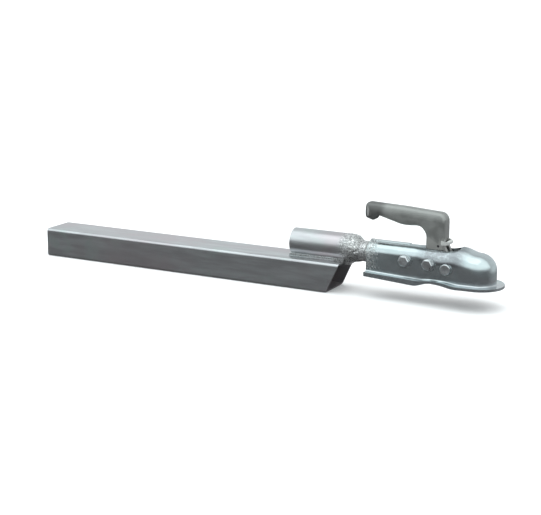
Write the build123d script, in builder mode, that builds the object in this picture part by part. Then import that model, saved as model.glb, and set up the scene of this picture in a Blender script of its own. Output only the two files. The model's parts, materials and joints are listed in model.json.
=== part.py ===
from build123d import *
from math import asin, cos, degrees, pi, radians, sin, sqrt, tan
import os

# Galvanised drawbar with a pressed steel ball coupling head, in millimetres.
# +X runs along the beam towards the nose, +Z is up, and the origin is the centre of the ball.

# Box section beam
box_length = 695.0
box_width = 80.0
box_height = 60.0
box_wall = 4.0
box_corner_radius = 6.0
box_mitre_angle = 25.0
ball_above_box = 12.0
box_front_to_ball = 268.0

# Stub tube on top of the beam
stub_diameter = 54.0
stub_wall = 2.9
stub_length = 125.0
stub_past_box = 12.0

# Neck tube from the stub into the head
neck_diameter = 40.0
neck_wall = 4.0
neck_in_stub = 75.0
neck_end_to_ball = 74.0
neck_rest_gap = 0.2

# Weld beads
weld_leg = 7.0
weld_lean = 1.6
weld_toe_to_middle = 18.4
weld_inner_to_middle = 8.0
weld_end_leg = 6.0
weld_end_half = 15.0
weld_end_bulge = 9.0
weld_root_drop = 4.5
neck_weld_length = 20.0
neck_weld_shoulder = 0.6
neck_weld_shares = ((0.0, 1.0), (0.45, 0.88), (0.8, 0.5), (1.0, 0.0))
head_weld_leg = 4.0

# Ball and socket
ball_diameter = 50.0
ball_play = 0.15
seat_wall = 3.7
seat_gap = 0.15
seat_wrap_down = 9.0
seat_back_edge = 8.0

# Pressed shell of the head
shell_wall = 4.0
shell_rear_to_ball = 217.5
shell_step_to_ball = 124.0
shell_tube_clearance = 0.2
shell_bend_radius = 3.0
rear_flange_drop = 25.3
step_flange_drop = 29.3
waist_flange_drop = 26.6
front_flange_drop = 29.0
rear_flange_reach = 12.0
waist_flange_reach = 7.6
front_flange_reach = 15.0
rear_rim_lip = 4.0
rim_lip = 6.0
rim_lip_least = 1.0
rib_half_width = 14.0
rib_rise = 1.6
rib_front_to_ball = 127.0
rib_corner_radius = 10.0
rib_draft = 20.0
slot_width = 31.0
slot_front_to_ball = 33.0
slot_rear_to_ball = 79.0
slot_corner_radius = 6.0
slot_cut_floor = 20.0
slot_cut_top = 60.0

# Clamp bolts through head and neck
bolt_diameter = 12.0
bolt_hole_clearance = 0.25
bolt_head_flats = 18.0
bolt_head_height = 7.5
bolt_front_to_ball = 88.0
bolt_spacing = 50.0
bolt_drop = 3.0
bolt_end_proud = 4.0
bolt_head_chamfer = 1.0
bolt_end_chamfer = 1.2
thread_gap = 0.1
nut_height = 12.0
washer_diameter = 24.0
washer_thickness = 2.5
washer_bore_gap = 0.5
seat_clearance = 0.3

# Handle pivot
pivot_to_ball = 54.0
pivot_height = 2.0
pivot_pin_diameter = 12.0
pivot_running_gap = 0.05
pivot_hole_gap = 0.1
pivot_head_diameter = 20.0
pivot_head_height = 4.5
pivot_head_round = 1.5
pivot_end_proud = 5.0
pivot_end_chamfer = 1.0
circlip_thickness = 1.2
circlip_width = 3.0
circlip_groove_depth = 0.8
circlip_end_play = 0.2
circlip_mouth = 7.0
press_gap = 0.02
bush_wall = 2.0
hub_wall = 3.0
spacer_wall = 3.5
spacer_end_gap = 0.4

# Handle casting
handle_width = 29.0
handle_edge_radius = 5.0
grip_height = 108.5
grip_middle_drop = 2.7
grip_front_drop = 8.0
grip_rear_to_ball = 226.0
grip_middle_to_ball = 148.0
grip_belly_depth = 37.2
grip_root_depth = 33.5
grip_front_radius = 14.0
grip_crown_radius = 100.0
grip_rear_radius = 6.5
grip_belly_radius = 80.0
grip_root_radius = 20.0
hook_heel_depth = 29.0
hook_tip_depth = 34.5
hook_length = 17.5
hook_radius = 5.5
throat_length = 22.5
throat_depth = 22.0
throat_radius = 5.0
post_front_to_ball = 64.1
post_length = 37.6
post_foot_z = 20.0
saddle_gap = 0.6
web_width = 26.0
web_rear_to_ball = 70.5
toe_radius = 4.0
toe_reach = 13.0
lever_back = 4.0
lever_reach = 22.0
lever_radius = 6.0

# Ball jaw and the side plates that carry it
jaw_width = 32.0
jaw_pin_to_ball = 34.0
jaw_pin_height = 20.0
jaw_pin_diameter = 8.0
jaw_boss_radius = 8.0
jaw_ball_gap = 0.3
jaw_back = 35.5
jaw_shoulder_height = 10.0
jaw_heel = 13.0
jaw_heel_cut = 7.5
jaw_floor = 25.5
jaw_tip = 14.5
jaw_edge_radius = 2.0
cheek_thickness = 3.0
cheek_clearance = 1.0
cheek_pivot_radius = 10.0
cheek_jaw_radius = 9.5

# Handle spring, its abutment and guide
spring_wire = 2.6
spring_diameter = 15.0
spring_turns = 9
spring_height = -19.0
spring_guide_gap = 0.5
spring_guide_length = 28.0
spring_end_gap = 0.3
abutment_thickness = 4.0
abutment_to_ball = 112.0
abutment_drop = 27.0
abutment_height = 30.0
guide_shank_radius = 3.0
guide_end_chamfer = 1.0

# Thumb catch in the foot of the handle
catch_pin_to_ball = 76.5
catch_pin_height = 39.8
catch_pin_diameter = 5.0
catch_boss_radius = 4.0
catch_width = 12.0
catch_side_gap = 0.4
catch_running_gap = 0.05
catch_groove_to_ball = 84.0
catch_groove_top = 49.5
catch_groove_floor = 27.0
catch_leg_gap = 0.8
catch_leg_length = 4.7
catch_leg_z = 32.8
catch_pin_recess = 1.0
catch_tab_gap = 3.2
catch_tab_length = 14.3
catch_tab_under_z = 43.0
catch_tab_thickness = 8.0
catch_tip_rise = 1.0
catch_tip_thickness = 4.5
catch_tab_corner = 11.0
catch_ear_length = 9.1
catch_ear_wall = 2.4
catch_ear_gap = 0.6
catch_arm_overlap = 3.0
catch_arm_top_z = 47.0
catch_spring_to_ball = 71.0
catch_spring_wire = 0.9
catch_spring_diameter = 6.0
catch_spring_turns = 5
catch_pocket_depth = 6.0

# Sizes that follow from the ones above
box_top_z = -ball_above_box
box_bottom_z = box_top_z - box_height
box_rear_x = -box_front_to_ball - box_length
mitre_run = box_height * tan(radians(box_mitre_angle))
stub_radius = stub_diameter / 2
stub_axis_z = box_top_z + stub_radius
stub_front_x = -box_front_to_ball + stub_past_box
stub_rear_x = stub_front_x - stub_length
neck_radius = neck_diameter / 2
neck_drop = stub_radius - stub_wall - neck_radius - neck_rest_gap
neck_axis_z = stub_axis_z - neck_drop
neck_rear_x = stub_front_x - neck_in_stub
neck_front_x = -neck_end_to_ball
bolt_z = neck_axis_z - bolt_drop
ball_radius = ball_diameter / 2
seat_inner_radius = ball_radius + ball_play
seat_outer_radius = seat_inner_radius + seat_wall
nose_radius = seat_outer_radius + seat_gap + shell_wall
grip_half_width = neck_radius + shell_tube_clearance + shell_wall
grip_top_z = neck_axis_z + grip_half_width
pin_point = (-pivot_to_ball, pivot_height)
pivot_pin_radius = pivot_pin_diameter / 2
bush_radius = pivot_pin_radius + bush_wall
hub_radius = bush_radius + hub_wall
jaw_point = (-jaw_pin_to_ball, jaw_pin_height)
cheek_inner_y = jaw_width / 2 + cheek_clearance
cheek_outer_y = cheek_inner_y + cheek_thickness


class Station:
    """One cross section of the pressed shell, square to the beam."""

    def __init__(self, x, half_width, top, spring_line, flange_drop, flange_reach, lip):
        self.x = x
        self.half_width = half_width
        self.top = top
        self.spring_line = spring_line
        self.flange_z = -flange_drop
        self.flange_edge = half_width + flange_reach
        self.lip_z = -flange_drop - lip


# Straight tube grip, whose rim drops and turns further down towards the step
rear_station = Station(
    x=-shell_rear_to_ball,
    half_width=grip_half_width,
    top=grip_top_z,
    spring_line=neck_axis_z,
    flange_drop=rear_flange_drop,
    flange_reach=rear_flange_reach,
    lip=rear_rim_lip,
)

# Where the shell swells from the tube grip to the ball housing, rear to front
flare = 7.2
hump_rise = 7.8
grip_crown_rise = 0.3
stations = [
    Station(
        x=-shell_step_to_ball,
        half_width=grip_half_width,
        top=grip_top_z,
        spring_line=neck_axis_z,
        flange_drop=step_flange_drop,
        flange_reach=rear_flange_reach,
        lip=rim_lip,
    ),
    Station(
        x=-117.0,
        half_width=grip_half_width + 0.07 * flare,
        top=grip_top_z + 0.2 * grip_crown_rise,
        spring_line=neck_axis_z,
        flange_drop=step_flange_drop + 0.2,
        flange_reach=rear_flange_reach,
        lip=rim_lip,
    ),
    Station(
        x=-110.0,
        half_width=grip_half_width + 0.3 * flare,
        top=grip_top_z + grip_crown_rise,
        spring_line=neck_axis_z,
        flange_drop=step_flange_drop,
        flange_reach=rear_flange_reach - 0.6,
        lip=0.9 * rim_lip,
    ),
    Station(
        x=-97.0,
        half_width=grip_half_width + 0.72 * flare,
        top=grip_top_z + grip_crown_rise,
        spring_line=neck_axis_z - 1.5,
        flange_drop=waist_flange_drop + 1.2,
        flange_reach=waist_flange_reach + 1.4,
        lip=0.45 * rim_lip,
    ),
    Station(
        x=-84.0,
        half_width=grip_half_width + 0.92 * flare,
        top=grip_top_z + grip_crown_rise,
        spring_line=neck_axis_z - 2.8,
        flange_drop=waist_flange_drop,
        flange_reach=waist_flange_reach,
        lip=rim_lip_least,
    ),
    Station(
        x=-66.0,
        half_width=grip_half_width + flare,
        top=grip_top_z + 2 * grip_crown_rise,
        spring_line=neck_axis_z - 4.0,
        flange_drop=waist_flange_drop,
        flange_reach=waist_flange_reach + 0.6,
        lip=rim_lip_least + 0.6,
    ),
    Station(
        x=-44.0,
        half_width=grip_half_width + 1.05 * flare,
        top=nose_radius + 0.8 * hump_rise,
        spring_line=neck_axis_z - 6.0,
        flange_drop=front_flange_drop - 0.8,
        flange_reach=front_flange_reach - 2.0,
        lip=rim_lip_least + 1.0,
    ),
    Station(
        x=-30.0,
        half_width=nose_radius + 0.6,
        top=nose_radius + hump_rise,
        spring_line=neck_axis_z - 8.0,
        flange_drop=front_flange_drop,
        flange_reach=front_flange_reach,
        lip=rim_lip_least + 0.4,
    ),
    Station(
        x=-13.0,
        half_width=nose_radius + 0.5,
        top=nose_radius + 0.42 * hump_rise,
        spring_line=1.5,
        flange_drop=front_flange_drop,
        flange_reach=front_flange_reach,
        lip=rim_lip_least,
    ),
    Station(
        x=-4.0,
        half_width=nose_radius + 0.2,
        top=nose_radius + 0.08 * hump_rise,
        spring_line=0.0,
        flange_drop=front_flange_drop,
        flange_reach=front_flange_reach,
        lip=rim_lip_least,
    ),
    Station(
        x=0.0,
        half_width=nose_radius,
        top=nose_radius,
        spring_line=0.0,
        flange_drop=front_flange_drop,
        flange_reach=front_flange_reach,
        lip=rim_lip_least,
    ),
]


def sheet_half(station):
    """Draw the near half of the bent sheet: crown, wall, turned-out flange and turned-down lip."""
    s = station
    wall_y = -s.half_width
    bend_y = wall_y - shell_bend_radius
    flange_top = s.flange_z + shell_wall
    bend_top = flange_top + shell_bend_radius
    lip_inner_y = shell_wall - s.flange_edge
    crown = s.top - s.spring_line
    centre = (0, s.spring_line)
    EllipticalCenterArc(centre, s.half_width, crown, start_angle=90, arc_size=90)
    Line((wall_y, s.spring_line), (wall_y, bend_top))
    RadiusArc((wall_y, bend_top), (bend_y, flange_top), shell_bend_radius)
    Line((bend_y, flange_top), (-s.flange_edge, flange_top))
    Line((-s.flange_edge, flange_top), (-s.flange_edge, s.lip_z))
    Line((-s.flange_edge, s.lip_z), (lip_inner_y, s.lip_z))
    Line((lip_inner_y, s.lip_z), (lip_inner_y, s.flange_z))
    Line((lip_inner_y, s.flange_z), (bend_y, s.flange_z))
    RadiusArc((bend_y, s.flange_z), (wall_y + shell_wall, bend_top), -shell_bend_radius - shell_wall)
    Line((wall_y + shell_wall, bend_top), (wall_y + shell_wall, s.spring_line))
    EllipticalCenterArc(centre, s.half_width - shell_wall, crown - shell_wall, start_angle=90, arc_size=90)


def sheet_section(station):
    """Return the whole bent sheet at one station as a face."""
    with BuildSketch(Plane.YZ.offset(station.x)) as section:
        with BuildLine():
            sheet_half(station)
            mirror(about=Plane.YZ)
        make_face()
    return section.sketch


def form_section(station, growth):
    """Return the filled outline of the crown and walls at one station, grown outwards."""
    wall_y = station.half_width + growth
    crown = station.top - station.spring_line + growth
    with BuildSketch(Plane.YZ.offset(station.x)) as section:
        with BuildLine():
            EllipticalCenterArc((0, station.spring_line), wall_y, crown, start_angle=0, arc_size=180)
            Line((-wall_y, station.spring_line), (-wall_y, station.flange_z))
            Line((-wall_y, station.flange_z), (wall_y, station.flange_z))
            Line((wall_y, station.flange_z), (wall_y, station.spring_line))
        make_face()
    return section.sketch


def shell_form(growth):
    """Return the filled form of the swelling part of the shell, grown outwards."""
    return loft(sections=[form_section(station, growth) for station in stations])


def half_widths(x, reach):
    """List the shell's half widths, above its rim, at a few places within a reach of x."""
    widths = []
    for place in (x - reach, x - reach / 2, x, x + reach / 2, x + reach):
        if place > stations[0].x:
            slice_face = Plane.YZ.offset(place) * Rectangle(4 * nose_radius, 2 * pivot_head_diameter)
            widths.append((swelling_sheet & slice_face).bounding_box().max.Y)
        else:
            widths.append(grip_half_width)
    return widths


def save(builder, name):
    """Label one finished piece and write it as its own STEP file."""
    builder.part.label = name
    export_step(builder.part, f"parts/{name}.step")


def cross_cylinder(point, radius, width):
    """Place a cylinder along Y, centred on the beam's middle plane, at an (x, z) point."""
    with Locations(Location((point[0], 0, point[1]), (90, 0, 0))):
        Cylinder(radius, width)


def cut_cross_hole(point, radius, width):
    """Cut a round hole along Y at an (x, z) point."""
    with Locations(Location((point[0], 0, point[1]), (90, 0, 0))):
        Cylinder(radius, width, mode=Mode.SUBTRACT)


os.makedirs("parts", exist_ok=True)
swelling_sheet = loft(sections=[sheet_section(station) for station in stations])

# Box section beam, open at both ends, with its front end cut back under the stub
with BuildPart() as box_tube:
    with BuildSketch(Plane.YZ.offset(box_rear_x)):
        with Locations((0, (box_top_z + box_bottom_z) / 2)):
            RectangleRounded(box_width, box_height, box_corner_radius)
            RectangleRounded(
                box_width - 2 * box_wall,
                box_height - 2 * box_wall,
                box_corner_radius - box_wall,
                mode=Mode.SUBTRACT,
            )
    extrude(amount=box_length)
    with BuildSketch(Plane.XZ.offset(-box_width)):
        with BuildLine():
            Polyline(
                (-box_front_to_ball, box_top_z),
                (-box_front_to_ball, box_bottom_z),
                (-box_front_to_ball - mitre_run, box_bottom_z),
                close=True,
            )
        make_face()
    extrude(amount=2 * box_width, mode=Mode.SUBTRACT)
save(box_tube, "box_tube")

# Stub tube lying on the beam
with BuildPart() as stub_tube:
    with BuildSketch(Plane.YZ.offset(stub_rear_x)):
        with Locations((0, stub_axis_z)):
            Circle(stub_radius)
            Circle(stub_radius - stub_wall, mode=Mode.SUBTRACT)
    extrude(amount=stub_length)
save(stub_tube, "stub_tube")

# Neck tube, lying on the floor of the stub's bore and bolted in the head
bolt_xs = [-bolt_front_to_ball, -bolt_front_to_ball - bolt_spacing]
bolt_hole_radius = bolt_diameter / 2 + bolt_hole_clearance
with BuildPart() as neck_tube:
    with BuildSketch(Plane.YZ.offset(neck_rear_x)):
        with Locations((0, neck_axis_z)):
            Circle(neck_radius)
            Circle(neck_radius - neck_wall, mode=Mode.SUBTRACT)
    extrude(amount=neck_front_x - neck_rear_x)
    for bolt_x in bolt_xs:
        cut_cross_hole((bolt_x, bolt_z), bolt_hole_radius, 2 * neck_diameter)
save(neck_tube, "neck_tube")

# Fillet welds along both sides of the stub, in the crevice between tube and beam
for side, name in ((-1, "stub_weld_near"), (1, "stub_weld_far")):
    with BuildPart() as stub_weld:
        with BuildSketch(Plane.YZ.offset(stub_rear_x)):
            with BuildLine():
                Polyline(
                    (side * weld_inner_to_middle, box_top_z),
                    (side * weld_toe_to_middle, box_top_z),
                    (side * (weld_toe_to_middle + weld_lean), box_top_z + weld_leg),
                    (side * weld_inner_to_middle, box_top_z + weld_leg),
                    close=True,
                )
            make_face()
            with Locations((0, stub_axis_z)):
                Circle(stub_radius, mode=Mode.SUBTRACT)
        extrude(amount=-box_front_to_ball - stub_rear_x)
    save(stub_weld, name)

# End welds across the stub, behind it and under its overhang
weld_rear_x = stub_rear_x - weld_end_leg
weld_rear_top = box_top_z + weld_end_leg
with BuildPart() as stub_weld_rear:
    with BuildSketch(Plane.XZ.offset(-weld_end_half)):
        with BuildLine():
            Line((stub_rear_x, box_top_z), (weld_rear_x, box_top_z))
            RadiusArc((weld_rear_x, box_top_z), (stub_rear_x, weld_rear_top), weld_end_bulge)
            Line((stub_rear_x, weld_rear_top), (stub_rear_x, box_top_z))
        make_face()
    extrude(amount=2 * weld_end_half)
save(stub_weld_rear, "stub_weld_rear")

mitre_slope = tan(radians(box_mitre_angle))
with BuildPart() as stub_weld_front:
    with BuildSketch(Plane.XZ.offset(-weld_end_half)):
        with BuildLine():
            Polyline(
                (-box_front_to_ball, box_top_z + weld_end_leg),
                (-box_front_to_ball, box_top_z),
                (-box_front_to_ball - weld_end_leg * mitre_slope, box_top_z - weld_end_leg),
                (stub_front_x, box_top_z - weld_root_drop),
                (stub_front_x, box_top_z + weld_end_leg),
                close=True,
            )
        make_face()
    extrude(amount=2 * weld_end_half)
    with Locations(Location((stub_front_x, 0, stub_axis_z), (0, 90, 0))):
        Cylinder(stub_radius, 4 * stub_diameter, mode=Mode.SUBTRACT)
save(stub_weld_front, "stub_weld_front")

# Heavy ring weld that closes the step from stub to neck
weld_end_radius = neck_radius + neck_weld_shoulder
weld_start_radius = stub_radius - neck_weld_shoulder
with BuildPart() as neck_weld:
    for length_share, radius_share in neck_weld_shares:
        with BuildSketch(Plane.YZ.offset(stub_front_x + length_share * neck_weld_length)):
            with Locations((0, neck_axis_z + radius_share * neck_drop)):
                Circle(weld_end_radius + radius_share * (weld_start_radius - weld_end_radius))
    loft()
    with Locations(Location((stub_front_x, 0, neck_axis_z), (0, 90, 0))):
        Cylinder(neck_radius, 4 * neck_weld_length, mode=Mode.SUBTRACT)
save(neck_weld, "neck_weld")

# Weld round the crown of the head's rear edge
shell_rear_x = -shell_rear_to_ball
with BuildPart() as head_weld:
    with BuildSketch(Plane.XY.offset(neck_axis_z)):
        with BuildLine():
            Polyline(
                (shell_rear_x, -neck_radius),
                (shell_rear_x - head_weld_leg, -neck_radius),
                (shell_rear_x, -neck_radius - head_weld_leg),
                close=True,
            )
        make_face()
    revolve(axis=Axis((0, 0, neck_axis_z), (1, 0, 0)), revolution_arc=-180)
save(head_weld, "head_weld")


def rib_prism(inset):
    """Return the block over the crown rib's outline, which is open at the shell's rear end."""
    length = shell_rear_to_ball - rib_front_to_ball
    with BuildPart() as prism:
        with BuildSketch(Plane.XY.offset(neck_axis_z)):
            with Locations((-shell_rear_to_ball, 0)):
                RectangleRounded(
                    2 * (length - inset),
                    2 * (rib_half_width - inset),
                    rib_corner_radius - inset,
                )
        extrude(amount=2 * neck_radius, taper=rib_draft)
        with BuildSketch(Plane.YZ.offset(-shell_rear_to_ball - length)):
            with Locations((0, neck_axis_z)):
                Rectangle(4 * neck_radius, 4 * neck_radius)
        extrude(amount=length, mode=Mode.SUBTRACT)
    return prism.part


# Rib pressed up along the crown of the grip: a layer on the sheet, and the hollow under it
with BuildPart() as rib_layer:
    add(rib_prism(0))
    with BuildSketch(Plane.YZ.offset(-shell_rear_to_ball)):
        with Locations((0, neck_axis_z)):
            Circle(grip_half_width + rib_rise)
            Circle(grip_half_width - shell_wall / 2, mode=Mode.SUBTRACT)
    extrude(amount=shell_rear_to_ball, mode=Mode.INTERSECT)
with BuildPart() as rib_hollow:
    add(rib_prism(rib_rise))
    with BuildSketch(Plane.YZ.offset(-shell_rear_to_ball)):
        with Locations((0, neck_axis_z)):
            Circle(grip_half_width - shell_wall + rib_rise)
    extrude(amount=shell_rear_to_ball, mode=Mode.INTERSECT)

# Pressed shell: straight tube grip, swelling body and domed nose, bent out at the rim
with BuildPart() as coupling_shell:
    add(loft(sections=[sheet_section(rear_station), sheet_section(stations[0])], ruled=True))
    add(rib_layer.part)
    add(rib_hollow.part, mode=Mode.SUBTRACT)
    add(swelling_sheet)
    with BuildSketch(Plane.YZ):
        with BuildLine():
            sheet_half(stations[-1])
            Line((0, nose_radius), (0, nose_radius - shell_wall))
        make_face()
    revolve(axis=Axis.Z, revolution_arc=180)
    slot_length = slot_rear_to_ball - slot_front_to_ball
    with BuildSketch(Plane.XY.offset(slot_cut_floor)):
        with Locations((-slot_rear_to_ball + slot_length / 2, 0)):
            RectangleRounded(slot_length, slot_width, slot_corner_radius)
    extrude(amount=slot_cut_top, mode=Mode.SUBTRACT)
    for bolt_x in bolt_xs:
        cut_cross_hole((bolt_x, bolt_z), bolt_hole_radius, 6 * nose_radius)
    cut_cross_hole(pin_point, pivot_pin_radius + pivot_hole_gap, 6 * nose_radius)
save(coupling_shell, "coupling_shell")

# Ball seat: a half liner that wraps the front of the ball
with BuildPart() as ball_seat:
    seat_outer_edge = sqrt(seat_outer_radius**2 - seat_wrap_down**2)
    seat_inner_edge = sqrt(seat_inner_radius**2 - seat_wrap_down**2)
    wrap_angle = asin(seat_wrap_down / seat_outer_radius)
    inner_wrap_angle = asin(seat_wrap_down / seat_inner_radius)
    with BuildSketch(Plane.XZ):
        with BuildLine():
            CenterArc((0, 0), seat_outer_radius, -degrees(wrap_angle), 90 + degrees(wrap_angle))
            Line((0, seat_outer_radius), (0, seat_inner_radius))
            CenterArc((0, 0), seat_inner_radius, -degrees(inner_wrap_angle), 90 + degrees(inner_wrap_angle))
            Line((seat_inner_edge, -seat_wrap_down), (seat_outer_edge, -seat_wrap_down))
        make_face()
    revolve(axis=Axis.Z)
    split(bisect_by=Plane.YZ.offset(-seat_back_edge), keep=Keep.TOP)
save(ball_seat, "ball_seat")


def bolt_seat_y(bolt_x):
    """Return how far from the middle a washer sits on the shell's side."""
    return max(half_widths(bolt_x, washer_diameter / 2)) + seat_clearance


# Clamp bolts with their washers and nuts, heads on the near side
nut_bore_radius = bolt_diameter / 2 + thread_gap
for number, bolt_x in enumerate(bolt_xs, start=1):
    seat_y = bolt_seat_y(bolt_x)
    head_y = seat_y + washer_thickness
    with BuildPart() as clamp_bolt:
        with BuildSketch(Plane.XZ.offset(head_y)):
            with Locations((bolt_x, bolt_z)):
                RegularPolygon(bolt_head_flats / 2, 6, major_radius=False)
        extrude(amount=bolt_head_height)
        chamfer(clamp_bolt.faces().sort_by(Axis.Y)[0].edges(), bolt_head_chamfer)
        with BuildSketch(Plane.XZ.offset(head_y)):
            with Locations((bolt_x, bolt_z)):
                Circle(bolt_diameter / 2)
        extrude(amount=-2 * head_y - nut_height - bolt_end_proud)
        chamfer(clamp_bolt.faces().sort_by(Axis.Y)[-1].edges(), bolt_end_chamfer)
    save(clamp_bolt, f"clamp_bolt_{number}")

    for side_name, washer_plane in (
        ("near", Plane.XZ.offset(seat_y)),
        ("far", Plane.XZ.offset(-seat_y - washer_thickness)),
    ):
        with BuildPart() as bolt_washer:
            with BuildSketch(washer_plane):
                with Locations((bolt_x, bolt_z)):
                    Circle(washer_diameter / 2)
                    Circle(bolt_diameter / 2 + washer_bore_gap, mode=Mode.SUBTRACT)
            extrude(amount=washer_thickness)
        save(bolt_washer, f"bolt_washer_{side_name}_{number}")

    with BuildPart() as clamp_nut:
        with BuildSketch(Plane.XZ.offset(-head_y)):
            with Locations((bolt_x, bolt_z)):
                RegularPolygon(bolt_head_flats / 2, 6, major_radius=False)
                Circle(nut_bore_radius, mode=Mode.SUBTRACT)
        extrude(amount=-nut_height)
        chamfer(clamp_nut.faces().sort_by(Axis.Y)[-1].outer_wire().edges(), bolt_head_chamfer)
    save(clamp_nut, f"clamp_nut_{number}")

# Pivot pin with its head on the near side and a snap ring on the far side
pin_head_y = max(half_widths(-pivot_to_ball, pivot_head_diameter / 2)) + seat_clearance
circlip_y = pin_head_y
groove_radius = pivot_pin_radius - circlip_groove_depth
with BuildPart() as pivot_pin:
    with BuildSketch(Plane.XZ.offset(pin_head_y)):
        with Locations(pin_point):
            Circle(pivot_head_diameter / 2)
    extrude(amount=pivot_head_height)
    fillet(pivot_pin.faces().sort_by(Axis.Y)[0].edges(), pivot_head_round)
    with BuildSketch(Plane.XZ.offset(pin_head_y)):
        with Locations(pin_point):
            Circle(pivot_pin_radius)
    extrude(amount=-2 * pin_head_y - pivot_end_proud)
    chamfer(pivot_pin.faces().sort_by(Axis.Y)[-1].edges(), pivot_end_chamfer)
    with BuildSketch(Plane.XZ.offset(-circlip_y)):
        with Locations(pin_point):
            Circle(pivot_pin_diameter)
            Circle(groove_radius, mode=Mode.SUBTRACT)
    extrude(amount=-circlip_thickness - circlip_end_play, mode=Mode.SUBTRACT)
save(pivot_pin, "pivot_pin")

# Snap ring, open at the rear
ring_y = circlip_y + circlip_end_play / 2
ring_inner_radius = groove_radius + pivot_running_gap
with BuildPart() as pivot_circlip:
    with BuildSketch(Plane.XZ.offset(-ring_y)):
        with Locations(pin_point):
            Circle(ring_inner_radius + circlip_width)
            Circle(ring_inner_radius, mode=Mode.SUBTRACT)
        with Locations((pin_point[0] - pivot_pin_diameter, pin_point[1])):
            Rectangle(2 * pivot_pin_diameter, circlip_mouth, mode=Mode.SUBTRACT)
    extrude(amount=-circlip_thickness)
save(pivot_circlip, "pivot_circlip")

# Spacer rings that keep the side plates off the shell's walls
spacer_radius = pivot_pin_radius + pivot_hole_gap + spacer_wall
spacer_outer_y = min(half_widths(-pivot_to_ball, spacer_radius)) - shell_wall - spacer_end_gap
spacer_inner_y = cheek_outer_y + spacer_end_gap
for side_name, spacer_plane in (
    ("near", Plane.XZ.offset(spacer_inner_y)),
    ("far", Plane.XZ.offset(-spacer_outer_y)),
):
    with BuildPart() as pivot_spacer:
        with BuildSketch(spacer_plane):
            with Locations(pin_point):
                Circle(spacer_radius)
                Circle(pivot_pin_radius + pivot_hole_gap, mode=Mode.SUBTRACT)
        extrude(amount=spacer_outer_y - spacer_inner_y)
    save(pivot_spacer, f"pivot_spacer_{side_name}")

# Bush pressed through the handle's hub
with BuildPart() as handle_bush:
    cross_cylinder(pin_point, bush_radius, 2 * (cheek_inner_y - seat_clearance))
    cut_cross_hole(pin_point, pivot_pin_radius + pivot_running_gap, 4 * cheek_outer_y)
save(handle_bush, "handle_bush")

# Side plates inside the shell, seated under its crown, that carry the jaw's pin
shell_cavity = shell_form(-shell_wall - seat_clearance)
for side_name, plate_plane in (
    ("near", Plane.XZ.offset(cheek_inner_y)),
    ("far", Plane.XZ.offset(-cheek_outer_y)),
):
    with BuildPart() as cheek_plate:
        with BuildSketch(plate_plane):
            with Locations(pin_point):
                Circle(cheek_pivot_radius)
            with Locations(jaw_point):
                Circle(cheek_jaw_radius)
            make_hull()
            with Locations(pin_point):
                Circle(pivot_pin_radius + pivot_hole_gap, mode=Mode.SUBTRACT)
            with Locations(jaw_point):
                Circle(jaw_pin_diameter / 2 + pivot_hole_gap, mode=Mode.SUBTRACT)
        extrude(amount=cheek_thickness)
        add(shell_cavity, mode=Mode.INTERSECT)
    save(cheek_plate, f"cheek_plate_{side_name}")

with BuildPart() as jaw_pin:
    cross_cylinder(jaw_point, jaw_pin_diameter / 2, 2 * cheek_outer_y)
save(jaw_pin, "jaw_pin")

# Ball jaw: hangs from its pin behind the ball and hooks under it
with BuildPart() as ball_jaw:
    with BuildSketch(Plane.XZ.offset(-jaw_width / 2)):
        with Locations(jaw_point):
            Circle(jaw_boss_radius)
        with BuildLine():
            Polyline(
                (jaw_point[0] - jaw_boss_radius, jaw_point[1]),
                (-jaw_back, jaw_shoulder_height),
                (-jaw_back, -jaw_heel),
                (-jaw_back + jaw_heel_cut, -jaw_floor),
                (-jaw_tip, -jaw_floor),
                (-jaw_tip, 0),
                (jaw_point[0] + jaw_boss_radius, jaw_point[1]),
                close=True,
            )
        make_face()
    extrude(amount=jaw_width)
    Sphere(ball_radius + jaw_ball_gap, mode=Mode.SUBTRACT)
    tip_edges = ball_jaw.edges().filter_by(Axis.Y).group_by(Axis.Z)[0]
    fillet(tip_edges, jaw_edge_radius)
    cut_cross_hole(jaw_point, jaw_pin_diameter / 2 + pivot_running_gap, 2 * jaw_width)
save(ball_jaw, "ball_jaw")

# Abutment plate across the shell, under the neck, for the rear end of the spring
abutment_rear_x = -abutment_to_ball - abutment_thickness
abutment_half_width = min(half_widths(abutment_rear_x, 0)) - shell_wall - spacer_end_gap
guide_radius = spring_diameter / 2 - spring_wire - spring_guide_gap
with BuildPart() as spring_abutment:
    with BuildSketch(Plane.YZ.offset(abutment_rear_x)):
        with Locations((0, -abutment_drop)):
            Rectangle(2 * abutment_half_width, abutment_height, align=(Align.CENTER, Align.MIN))
        with Locations((0, neck_axis_z)):
            Circle(neck_radius + spacer_end_gap, mode=Mode.SUBTRACT)
        with Locations((0, spring_height)):
            Circle(guide_shank_radius + pivot_hole_gap, mode=Mode.SUBTRACT)
    extrude(amount=abutment_thickness)
save(spring_abutment, "spring_abutment")

# Guide stud inside the spring, with its shank through the plate
with BuildPart() as spring_guide:
    with BuildSketch(Plane.YZ.offset(-abutment_to_ball)):
        with Locations((0, spring_height)):
            Circle(guide_radius)
    extrude(amount=spring_guide_length)
    chamfer(spring_guide.faces().sort_by(Axis.X)[-1].edges(), guide_end_chamfer)
    with BuildSketch(Plane.YZ.offset(-abutment_to_ball)):
        with Locations((0, spring_height)):
            Circle(guide_shank_radius)
    extrude(amount=-abutment_thickness)
save(spring_guide, "spring_guide")


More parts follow.
